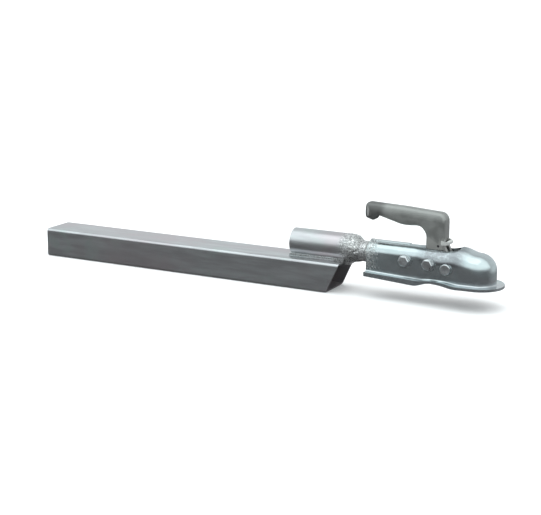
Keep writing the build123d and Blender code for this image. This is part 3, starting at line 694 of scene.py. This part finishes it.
class GrowthTree(NodeBoard):
    """One Geometry Nodes tree with named inputs, and the plain mesh that it grows."""

    def __init__(self, name: str, material: bpy.types.Material) -> None:
        """Start a tree that ends in realised, smooth and dressed geometry.

        Args:
            name: the name of the tree and of the piece that it grows.
            material: the finish that its last node sets.
        """
        super().__init__(bpy.data.node_groups.new(name, "GeometryNodeTree"))
        self.name = name
        self.material = material
        for way in ("INPUT", "OUTPUT"):
            self.tree.interface.new_socket("Geometry", in_out=way, socket_type="NodeSocketGeometry")
        self.source = self.node("NodeGroupInput")
        self.base = self.source.outputs["Geometry"]
        self.sink = self.node("NodeGroupOutput")
        self.values: dict[str, float | int | Triple] = {}

    def named(self, name: str, value: float | int | Triple) -> Socket:
        """Add a named input.

        Args:
            name: the input's name.
            value: its value; an int, a float or three floats.

        Returns:
            The socket that gives the value inside the tree.
        """
        kinds = {int: "NodeSocketInt", float: "NodeSocketFloat", tuple: "NodeSocketVector"}
        socket = self.tree.interface.new_socket(name, in_out="INPUT", socket_type=kinds[type(value)])
        self.values[socket.identifier] = value
        return self.source.outputs[name]

    def random(self, low: Socket, high: Socket, seed: Socket) -> Socket:
        """Draw a random number for each point, between two values and the same in every run."""
        node = self.node("FunctionNodeRandomValue", {"data_type": "FLOAT"}, Min=low, Max=high, Seed=seed)
        return next(socket for socket in node.outputs if socket.enabled)

    def scaled(self, shape: Socket, size: Socket) -> Socket:
        """Scale the three half sizes of a shape."""
        node = self.node("ShaderNodeVectorMath", {"operation": "SCALE"}, Vector=shape, Scale=size)
        return node.outputs[0]

    def finish(self, geometry: Socket) -> None:
        """Realise, smooth and dress the geometry, and give it out.

        Args:
            geometry: the finished geometry.
        """
        solid = self.node("GeometryNodeRealizeInstances", Geometry=geometry)
        smooth = self.node("GeometryNodeSetShadeSmooth", Geometry=solid.outputs[0])
        dressed = self.node("GeometryNodeSetMaterial", Geometry=smooth.outputs[0], Material=self.material)
        self.give(self.sink.inputs["Geometry"], dressed.outputs[0])

    def grow(self, base: bpy.types.Mesh) -> Object:
        """Run the tree on a mesh and keep what it grows as a plain mesh.

        Args:
            base: the mesh that it starts from.

        Returns:
            The object, without any modifier.
        """
        piece = put(self.name, base)
        modifier = piece.modifiers.new(self.name, "NODES")
        modifier.node_group = self.tree
        for identifier, value in self.values.items():
            modifier[identifier] = value
        bpy.context.view_layer.update()
        graph = bpy.context.evaluated_depsgraph_get()
        grown = bpy.data.meshes.new_from_object(piece.evaluated_get(graph))
        piece.modifiers.remove(modifier)
        piece.data = grown
        return piece


@dataclass
class Assembly:
    """A sub-assembly, the wardrobe that dresses it and the CAD nodes that it holds."""

    wardrobe: Wardrobe
    nodes: tuple[str, ...] = ()

    def dress(self) -> None:
        """Dress each CAD node."""
        for name in self.nodes:
            self.wardrobe.dress_node(name)


@dataclass
class Beam(Assembly):
    """The box section beam."""

    nodes: tuple[str, ...] = ("box_tube",)


@dataclass
class StubTube(Assembly):
    """The stub tube on the beam, with the ripples of the welds along its foot."""

    nodes: tuple[str, ...] = (
        "stub_tube", "stub_weld_near", "stub_weld_far", "stub_weld_rear", "stub_weld_front",
    )
    rear_x: float = -381.0 * MM
    front_x: float = -268.0 * MM
    bead_y: float = 18.4 * MM
    bead_z: float = -8.4 * MM
    end_half: float = 14.0 * MM
    end_x: float = -384.6 * MM
    end_z: float = -9.2 * MM
    ripple_pitch: float = 2.4 * MM
    side_ripple: Triple = (2.3 * MM, 1.7 * MM, 4.2 * MM)
    end_ripple: Triple = (3.2 * MM, 2.3 * MM, 2.8 * MM)
    least_size: float = 0.86
    most_size: float = 1.14
    ripple_segments: int = 14
    ripple_rings: int = 8

    def dress(self) -> None:
        """Dress the tube and its welds, and add the ripples."""
        super().dress()
        runs = {
            "near": ((self.rear_x, -self.bead_y, self.bead_z), (self.front_x, -self.bead_y, self.bead_z)),
            "far": ((self.rear_x, self.bead_y, self.bead_z), (self.front_x, self.bead_y, self.bead_z)),
            "rear": ((self.end_x, -self.end_half, self.end_z), (self.end_x, self.end_half, self.end_z)),
        }
        for seed, (side, ends) in enumerate(runs.items()):
            half_sizes = self.end_ripple if side == "rear" else self.side_ripple
            growth = GrowthTree(f"stub_weld_ripples_{side}", self.wardrobe.materials[Slot.WELD])
            piece = self.ripples(growth, ends, half_sizes, seed)
            self.wardrobe.seat_piece(piece, Slot.WELD, Body.DRAWBAR)

    def ripples(
        self, growth: GrowthTree, ends: tuple[Triple, Triple], half_sizes: Triple, seed: int
    ) -> Object:
        """Lay overlapping weld ripples along a straight run.

        Args:
            growth: the new tree that lays them.
            ends: where the run starts and ends.
            half_sizes: half sizes of one ripple.
            seed: seed for the ripples' sizes.

        Returns:
            The ripples as one piece.
        """
        run = growth.node("GeometryNodeMeshToCurve", Mesh=growth.base)
        pitch = growth.named("Pitch", self.ripple_pitch)
        places = growth.node(
            "GeometryNodeResampleCurve", {"mode": "LENGTH"}, Curve=run.outputs[0], Length=pitch
        )
        ripple = growth.node(
            "GeometryNodeMeshUVSphere", Segments=self.ripple_segments, Rings=self.ripple_rings, Radius=1.0
        )
        size = growth.random(
            growth.named("Least size", self.least_size),
            growth.named("Most size", self.most_size),
            growth.named("Seed", seed),
        )
        laid = growth.node(
            "GeometryNodeInstanceOnPoints",
            Points=places.outputs[0],
            Instance=ripple.outputs["Mesh"],
            Scale=growth.scaled(growth.named("Ripple", half_sizes), size),
        )
        growth.finish(laid.outputs[0])
        line = bpy.data.meshes.new(f"{growth.name}_run")
        line.from_pydata(ends, [(0, 1)], [])
        return growth.grow(line)


@dataclass
class NeckJoint(Assembly):
    """The neck tube, the lumpy welds at its two ends and the zinc grains that cover the joint."""

    nodes: tuple[str, ...] = ("neck_tube",)
    neck_radius: float = 20.0 * MM
    neck_axis: float = 11.1 * MM
    stub_radius: float = 27.0 * MM
    stub_axis: float = 15.0 * MM
    ring_start: float = -256.5 * MM
    ring_length: float = 20.5 * MM
    ring_shares: tuple[Span, ...] = ((0.0, 1.0), (0.3, 0.95), (0.55, 0.8), (0.8, 0.42), (1.0, 0.0))
    ring_rise: float = 0.6 * MM
    ring_inset: float = 1.0 * MM
    ring_sink: float = 0.4 * MM
    ring_rows: int = 34
    ring_steps: int = 168
    bead_outline: tuple[Span, ...] = (
        (-222.0 * MM, 0.2 * MM),
        (-219.25 * MM, 2.2 * MM),
        (-217.5 * MM, 4.0 * MM),
        (-216.5 * MM, 3.4 * MM),
        (-216.5 * MM, -0.5 * MM),
        (-222.0 * MM, -0.5 * MM),
    )
    lump_height: float = 1.1 * MM
    lump_size: float = 5.5 * MM
    fine_lump: float = 0.4
    fine_share: float = 0.5
    fine_shift: Triple = (7.0, 3.0, 1.0)
    grain_sources: tuple[str, ...] = ("stub_tube", "neck_tube", "coupling_shell")
    grains_per_square_metre: float = 260000.0
    grain_seed: int = 11
    grain_shape: Triple = (1.0, 1.0, 0.55)
    least_grain: float = 0.35 * MM
    most_grain: float = 1.0 * MM
    patch_margin: float = 60.0 * MM
    slice_step: float = 4.0 * MM
    least_outward: float = 0.5

    def dress(self) -> None:
        """Dress the neck and add its welds and grains."""
        super().dress()
        ring = self.ring_weld()
        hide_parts("neck_weld")
        self.wardrobe.seat_piece(ring, Slot.WELD, Body.DRAWBAR)
        bead = self.head_weld()
        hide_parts("head_weld")
        self.wardrobe.seat_piece(bead, Slot.WELD, Body.DRAWBAR)
        growth = GrowthTree("zinc_grains", self.wardrobe.materials[Slot.WELD])
        self.wardrobe.seat_piece(self.grains(growth, [ring, bead]), Slot.WELD, Body.DRAWBAR)

    def share_at(self, place: float) -> float:
        """Return the ring weld's share of the step to the stub's radius, at 0 to 1 of its length."""
        places, shares = zip(*self.ring_shares)
        return float(np.interp(place, places, shares))

    def lump(self, point: Vector) -> float:
        """Return the height of the weld's lumps at a point.

        Args:
            point: the place on the weld.

        Returns:
            The height, in metres.
        """
        coarse = noise.noise(point / self.lump_size)
        fine = noise.noise(point / (self.fine_lump * self.lump_size) + Vector(self.fine_shift))
        return self.lump_height * (coarse + self.fine_share * fine)

    def arc(self, middle: Vector, radius: float, sweep: float, steps: int, lumpy: bool) -> list[Vector]:
        """Return points on an arc round the tube, starting across it.

        Args:
            middle: the arc's middle.
            radius: its radius before any lumps.
            sweep: the angle it covers; a full turn leaves out the last point.
            steps: number of steps along it.
            lumpy: whether it follows the weld's lumps.

        Returns:
            The points.
        """
        points = []
        for step in range(steps if sweep == 2 * math.pi else steps + 1):
            angle = sweep * step / steps
            outward = Vector((0.0, math.cos(angle), math.sin(angle)))
            point = middle + outward * radius
            points.append(point + outward * self.lump(point) if lumpy else point)
        return points

    def skin(self, rows: list[list[Vector]], name: str, closed_round: bool) -> Object:
        """Join rows of points into one closed skin.

        Args:
            rows: rows of points, from the first outline round to the last, which meets the first.
            name: the piece's name.
            closed_round: whether each row is a full ring.

        Returns:
            The piece.
        """
        form = bmesh.new()
        grid = [[form.verts.new(point) for point in row] for row in rows]
        count = len(rows[0])
        spans = count if closed_round else count - 1
        for upper, lower in zip(grid, grid[1:] + grid[:1]):
            for step in range(spans):
                after = (step + 1) % count
                form.faces.new((upper[step], upper[after], lower[after], lower[step]))
        if not closed_round:
            form.faces.new([row[0] for row in grid])
            form.faces.new([row[-1] for row in reversed(grid)])
        return mesh_piece(name, form)

    def ring_weld(self) -> Object:
        """Make the heavy ring weld that closes the step from stub to neck.

        Returns:
            The weld.
        """
        turn = 2 * math.pi
        step_up = self.stub_radius - self.neck_radius - self.ring_inset
        rows = []
        for row in range(self.ring_rows + 1):
            place = row / self.ring_rows
            share = self.share_at(place)
            radius = self.neck_radius + self.ring_rise + share * step_up
            axis = self.neck_axis + share * (self.stub_axis - self.neck_axis)
            middle = Vector((self.ring_start + place * self.ring_length, 0.0, axis))
            rows.append(self.arc(middle, radius, turn, self.ring_steps, lumpy=True))
        inner = self.neck_radius - self.ring_sink
        for place in (1.0, 0.0):
            middle = Vector((self.ring_start + place * self.ring_length, 0.0, self.neck_axis))
            rows.append(self.arc(middle, inner, turn, self.ring_steps, lumpy=False))
        return self.skin(rows, "neck_ring_weld", closed_round=True)

    def head_weld(self) -> Object:
        """Make the bead over the crown of the head's rear edge.

        Returns:
            The bead.
        """
        steps = self.ring_steps // 2
        rows = []
        for x, rise in self.bead_outline:
            middle = Vector((x, 0.0, self.neck_axis))
            rows.append(self.arc(middle, self.neck_radius + rise, math.pi, steps, lumpy=rise > 0))
        return self.skin(rows, "head_rear_weld", closed_round=False)

    def patch(self, welds: list[Object]) -> bpy.types.Mesh:
        """Collect the outward surface that the grains lie on.

        Args:
            welds: the weld pieces, which carry grains too.

        Returns:
            The surface as one mesh, cut into narrow slices along the beam.
        """
        form = bmesh.new()
        for source in [frame["nodes"][name] for name in self.grain_sources] + welds:
            form.from_mesh(source.data)
        bmesh.ops.remove_doubles(form, verts=form.verts, dist=MERGE)
        rear, front = CRUST.start - self.patch_margin, CRUST.end + self.patch_margin
        far = [face for face in form.faces if not rear < face.calc_center_median().x < front]
        bmesh.ops.delete(form, geom=far, context="FACES")
        for index in range(int((CRUST.end - CRUST.start) / self.slice_step) + 2):
            parts = form.verts[:] + form.edges[:] + form.faces[:]
            place = (CRUST.start + index * self.slice_step, 0.0, 0.0)
            bmesh.ops.bisect_plane(form, geom=parts, plane_co=place, plane_no=(1.0, 0.0, 0.0))
        left_out = []
        for face in form.faces:
            middle = face.calc_center_median()
            outward = Vector((0.0, middle.y, middle.z - self.neck_axis)).normalized()
            bare = middle.z < CRUST.bottom or not CRUST.start < middle.x < CRUST.end
            if bare or face.normal.dot(outward) < self.least_outward:
                left_out.append(face)
        bmesh.ops.delete(form, geom=left_out, context="FACES")
        mesh = bpy.data.meshes.new("grain_patch")
        form.to_mesh(mesh)
        form.free()
        return mesh

    def grains(self, growth: GrowthTree, welds: list[Object]) -> Object:
        """Scatter flattened zinc grains over the joint, thinning out towards both ends.

        Args:
            growth: the new tree that scatters them.
            welds: the weld pieces, which carry grains too.

        Returns:
            The grains as one piece.
        """
        seed = growth.named("Seed", self.grain_seed)
        place = growth.node("GeometryNodeInputPosition").outputs[0]
        along = growth.node("ShaderNodeSeparateXYZ", Vector=place).outputs["X"]
        ramps = [
            growth.node(
                "ShaderNodeMapRange",
                Value=along,
                From_Min=growth.named(outer, getattr(CRUST, outer.lower())),
                From_Max=growth.named(inner, getattr(CRUST, inner.lower())),
            ).outputs[0]
            for outer, inner in (("Start", "Full"), ("End", "Fade"))
        ]
        dense = growth.join(*ramps)
        spots = growth.node(
            "GeometryNodeDistributePointsOnFaces",
            Mesh=growth.base,
            Density=growth.join(dense, growth.named("Density", self.grains_per_square_metre)),
            Seed=seed,
        )
        size = growth.random(
            growth.named("Least grain", self.least_grain), growth.named("Most grain", self.most_grain), seed
        )
        grain = growth.node("GeometryNodeMeshIcoSphere", Radius=1.0, Subdivisions=1)
        laid = growth.node(
            "GeometryNodeInstanceOnPoints",
            Points=spots.outputs["Points"],
            Instance=grain.outputs["Mesh"],
            Rotation=spots.outputs["Rotation"],
            Scale=growth.scaled(growth.named("Grain shape", self.grain_shape), size),
        )
        growth.finish(laid.outputs[0])
        return growth.grow(self.patch(welds))


@dataclass
class CouplingHead(Assembly):
    """The pressed head with its bolts, pins, plates, ball seat, jaw and lift spring."""

    nodes: tuple[str, ...] = (
        "coupling_shell", "ball_seat", "cheek_plate_near", "cheek_plate_far", "spring_abutment",
        "spring_guide", "ball_jaw", "clamp_bolt_1", "clamp_bolt_2", "clamp_nut_1", "clamp_nut_2",
        "bolt_washer_near_1", "bolt_washer_near_2", "bolt_washer_far_1", "bolt_washer_far_2",
        "pivot_pin", "pivot_circlip", "pivot_spacer_near", "pivot_spacer_far", "jaw_pin", "handle_spring",
    )
    bolt_numbers: tuple[int, ...] = (1, 2)
    thread_radius: float = 5.9 * MM
    thread_pitch: float = 1.75 * MM
    thread_ridge: float = 0.5 * MM
    thread_steps: int = 48
    ridge_corners: int = 4
    nut_overlap: float = 0.4 * MM
    end_chamfer: float = 1.2 * MM

    def dress(self) -> None:
        """Dress the head and wind threads on the bolts' ends."""
        super().dress()
        for number in self.bolt_numbers:
            growth = GrowthTree(f"bolt_thread_{number}", self.wardrobe.materials[Slot.BRIGHT])
            self.wardrobe.seat_piece(self.thread(growth, number), Slot.BRIGHT, Body.DRAWBAR)

    def thread(self, growth: GrowthTree, number: int) -> Object:
        """Wind the thread's ridge round the end of one clamp bolt.

        Args:
            growth: the new tree that winds it.
            number: which bolt.

        Returns:
            The ridge as one piece.
        """
        bolt_low, bolt_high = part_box(f"clamp_bolt_{number}")
        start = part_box(f"clamp_nut_{number}")[1].y - self.nut_overlap
        length = bolt_high.y - self.end_chamfer - start
        radius = growth.named("Radius", self.thread_radius)
        winding = growth.node(
            "GeometryNodeCurveSpiral",
            Resolution=self.thread_steps,
            Rotations=growth.named("Turns", length / self.thread_pitch),
            Start_Radius=radius,
            End_Radius=radius,
            Height=growth.named("Length", length),
        )
        profile = growth.node(
            "GeometryNodeCurvePrimitiveCircle",
            Resolution=self.ridge_corners,
            Radius=growth.named("Ridge", self.thread_ridge),
        )
        ridge = growth.node(
            "GeometryNodeCurveToMesh",
            Curve=winding.outputs[0],
            Profile_Curve=profile.outputs[0],
            Fill_Caps=True,
        )
        middle = (bolt_low + bolt_high) / 2
        placed = growth.node(
            "GeometryNodeTransform",
            Geometry=ridge.outputs[0],
            Rotation=(-math.pi / 2, 0.0, 0.0),
            Translation=growth.named("Place", (middle.x, start, middle.z)),
        )
        growth.finish(placed.outputs[0])
        return growth.grow(bpy.data.meshes.new(f"{growth.name}_base"))


@dataclass
class LiftHandle(Assembly):
    """The cast handle, rounded fuller than its solid, with its bush, thumb catch, pin and spring."""

    nodes: tuple[str, ...] = ("handle_bush", "catch_pin", "catch_spring", "safety_catch")
    half_width: float = 14.5 * MM
    lowest: float = 54.0 * MM
    slice_height: float = 2.0 * MM
    slice_length: float = 5.0 * MM
    slice_width: float = 3.6 * MM
    top_reach: float = 17.0 * MM
    top_squeeze: float = 0.3
    crown_rise: float = 1.1 * MM
    belly_reach: float = 11.0 * MM
    belly_squeeze: float = 0.24
    belly_above: float = 62.0 * MM
    belly_blend: float = 8.0 * MM
    sharp_angle: float = 34.0

    def dress(self) -> None:
        """Dress the catch and the bush, and put the rounded handle in the solid's place."""
        super().dress()
        grip = self.rounded()
        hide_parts("handle")
        self.wardrobe.seat_piece(grip, Slot.CAST, Body.HANDLE)

    def slices(self, form: bmesh.types.BMesh) -> None:
        """Cut the handle above the head into narrow slices along all three axes.

        Args:
            form: the handle, which is changed.
        """
        low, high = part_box("handle")
        cuts = (
            (Axis.Z, self.lowest, high.z, self.slice_height),
            (Axis.X, low.x, high.x, self.slice_length),
            (Axis.Y, low.y, high.y, self.slice_width),
        )
        foot = self.lowest - self.slice_height
        for axis, start, end, step in cuts:
            normal = [0.0, 0.0, 0.0]
            normal[axis.value] = 1.0
            for index in range(1, int((end - start) / step) + 1):
                above = [face for face in form.faces if face.calc_center_median().z > foot]
                edges = {edge for face in above for edge in face.edges}
                verts = {vert for face in above for vert in face.verts}
                place = [component * (start + index * step) for component in normal]
                bmesh.ops.bisect_plane(form, geom=[*verts, *edges, *above], plane_co=place, plane_no=normal)

    def outline(self, form: bmesh.types.BMesh) -> tuple[list[float], list[float], list[float]]:
        """Find the lowest and highest point of the handle above the head, slice by slice.

        Args:
            form: the sliced handle.

        Returns:
            Each slice's place along the beam, its lowest point and its highest.
        """
        heights: dict[int, list[float]] = {}
        for vert in form.verts:
            if vert.co.z >= self.lowest:
                heights.setdefault(round(vert.co.x / self.slice_length), []).append(vert.co.z)
        slices = sorted(heights.items())
        places = [number * self.slice_length for number, _ in slices]
        return places, [min(found) for _, found in slices], [max(found) for _, found in slices]

    def rounded(self) -> Object:
        """Round the grip's crown and belly, and leave the foot inside the head as it is.

        Returns:
            The handle as one piece.
        """
        form = bmesh.new()
        form.from_mesh(frame["nodes"]["handle"].data)
        bmesh.ops.remove_doubles(form, verts=form.verts, dist=MERGE)
        self.slices(form)
        places, lows, highs = self.outline(form)
        for vert in form.verts:
            if vert.co.z <= self.lowest:
                continue
            bottom = np.interp(vert.co.x, places, lows)
            top = np.interp(vert.co.x, places, highs)
            fade = min(1.0, (vert.co.z - self.lowest) / self.belly_blend)
            crown = fade * max(0.0, 1.0 - (top - vert.co.z) / self.top_reach) ** 2
            free = min(1.0, max(0.0, (bottom - self.belly_above) / self.belly_blend))
            belly = free * max(0.0, 1.0 - (vert.co.z - bottom) / self.belly_reach) ** 2
            vert.co.z += self.crown_rise * crown * (1.0 - (vert.co.y / self.half_width) ** 2)
            vert.co.y *= 1.0 - self.top_squeeze * crown - self.belly_squeeze * belly
        piece = mesh_piece("handle_casting", form)
        piece.data.set_sharp_from_angle(angle=math.radians(self.sharp_angle))
        return piece


@dataclass(frozen=True)
class Softbox:
    """One rectangular studio light, unseen by the camera."""

    name: str
    place: Triple
    target: Triple
    size: Span
    power: float
    colour: Colour

    def build(self) -> None:
        """Put the light in the scene."""
        data = bpy.data.lights.new(self.name, "AREA")
        data.shape = "RECTANGLE"
        data.size, data.size_y = self.size
        data.energy = self.power
        data.color = self.colour
        light = put(self.name, data)
        light.location = self.place
        light.rotation_euler = (Vector(self.target) - light.location).to_track_quat("-Z", "Y").to_euler()
        light.visible_camera = False


@dataclass
class Studio:
    """Camera, pale floor, a room that is bright overhead and dim in front, and soft lights."""

    camera_place: Triple = (0.761, -2.231, 0.582)
    yaw: float = 28.23
    pitch: float = 13.49
    roll: float = 0.02
    focal_pixels: float = 1300.0
    frame_pixels: float = 541.0
    sensor: float = 36.0
    sight: float = 300.0
    floor_size: float = 84.0
    floor_colour: Colour = (0.88, 0.88, 0.88)
    floor_rough: float = 0.9
    backdrop_radius: float = 38.0
    backdrop_segments: int = 48
    backdrop_rings: int = 24
    dim_level: float = 0.1
    dim_tint: Colour = (1.0, 0.965, 1.0)
    bright_tint: Colour = (0.93, 0.99, 1.0)
    rear_level: float = 0.76
    rear_across: Span = (-0.35, 0.6)
    rear_up: Span = (-0.4, 0.05)
    ceiling_level: float = 1.5
    ceiling_across: Span = (0.5, 0.0)
    ceiling_up: Span = (0.1, 0.42)
    wash_power: float = 1.3
    wash_spread: float = 100.0
    wash_tilt: Triple = (-18.0, 8.0, 0.0)
    overhead: Softbox = Softbox(
        "overhead",
        place=(-0.6, -0.7, 2.0),
        target=(-0.25, 0.0, 0.0),
        size=(2.2, 1.4),
        power=5.0,
        colour=(0.95, 0.99, 1.0),
    )

    def build(self) -> None:
        """Make the whole studio."""
        self.build_camera()
        self.build_floor()
        self.build_backdrop()
        self.build_room()
        self.build_wash()
        self.overhead.build()

    def build_camera(self) -> None:
        """Place the camera at the photograph's angle."""
        data = bpy.data.cameras.new("camera")
        data.sensor_width = self.sensor
        data.lens = self.focal_pixels / self.frame_pixels * self.sensor
        data.clip_end = self.sight
        camera = put("camera", data)
        turn = Matrix.Rotation(math.radians(self.yaw), 4, "Z")
        tilt = Matrix.Rotation(math.radians(90.0 - self.pitch), 4, "X")
        roll = Matrix.Rotation(math.radians(self.roll), 4, "Z")
        camera.matrix_world = Matrix.Translation(self.camera_place) @ turn @ tilt @ roll
        bpy.context.scene.camera = camera

    def build_floor(self) -> None:
        """Lay a large pale floor under the beam, which shows no mirror image in the metal."""
        mesh = bpy.data.meshes.new("floor")
        half = self.floor_size / 2
        level = CAD_BOUNDS[0][2]
        corners = [(-half, -half, level), (half, -half, level), (half, half, level), (-half, half, level)]
        mesh.from_pydata(corners, [], [(0, 1, 2, 3)])
        floor = put("floor", mesh)
        tree = ShaderTree("pale_floor")
        tree.settle(Base_Color=self.floor_colour, Roughness=self.floor_rough)
        mesh.materials.append(tree.material)
        floor.visible_glossy = False

    def build_backdrop(self) -> None:
        """Close the view above the floor with a plain pale dome, which lights nothing."""
        form = bmesh.new()
        bmesh.ops.create_uvsphere(
            form,
            u_segments=self.backdrop_segments,
            v_segments=self.backdrop_rings,
            radius=self.backdrop_radius,
        )
        dome = mesh_piece("backdrop", form)
        tree = ShaderTree("pale_backdrop")
        tree.settle(Base_Color=(0.0, 0.0, 0.0), Specular_IOR_Level=0.0)
        tree.settle(Emission_Color=(1.0, 1.0, 1.0), Emission_Strength=1.0)
        dome.data.materials.append(tree.material)
        for ray in ("diffuse", "glossy", "transmission", "shadow"):
            setattr(dome, f"visible_{ray}", False)

    def build_room(self) -> None:
        """Light the scene softly: a bright ceiling, a lit rear and a dim front below the ceiling."""
        world = bpy.data.worlds.new("studio")
        world.use_nodes = True
        board = NodeBoard(world.node_tree)
        background = board.tree.nodes["Background"]
        sky = board.node("ShaderNodeTexCoord").outputs["Generated"]
        around = board.node("ShaderNodeSeparateXYZ", Vector=sky)
        across, up = around.outputs["Y"], around.outputs["Z"]
        lit = board.spread(across, self.rear_across, (0.0, self.rear_level))
        rear = board.join(lit, board.spread(up, self.rear_up))
        overhead = board.spread(up, self.ceiling_up, (0.0, self.ceiling_level))
        ceiling = board.join(overhead, board.spread(across, self.ceiling_across))
        bright = board.join(rear, ceiling, Operation.MAXIMUM)
        strength = board.join(bright, self.dim_level, Operation.ADD)
        colour = board.blend(self.dim_tint, (bright, self.bright_tint))
        board.fill(background, Strength=strength, Color=colour)
        bpy.context.scene.world = world
        bpy.context.scene.view_settings.view_transform = "Standard"

    def build_wash(self) -> None:
        """Add a wide soft light from above, which shows no image in the metal."""
        data = bpy.data.lights.new("wash", "SUN")
        data.energy = self.wash_power
        data.angle = math.radians(self.wash_spread)
        data.use_shadow = False
        light = put("wash", data)
        light.rotation_euler = [math.radians(angle) for angle in self.wash_tilt]
        light.visible_glossy = False


def main() -> None:
    """Build the drawbar's looks in order."""
    logging.basicConfig(level=logging.INFO, format="%(name)s: %(message)s")
    wardrobe = Wardrobe()
    for assembly in (Beam, StubTube, NeckJoint, CouplingHead, LiftHandle):
        assembly(wardrobe).dress()
        LOG.info("finished %s", assembly.__name__)
    Studio().build()


if __name__ == "__main__":
    main()
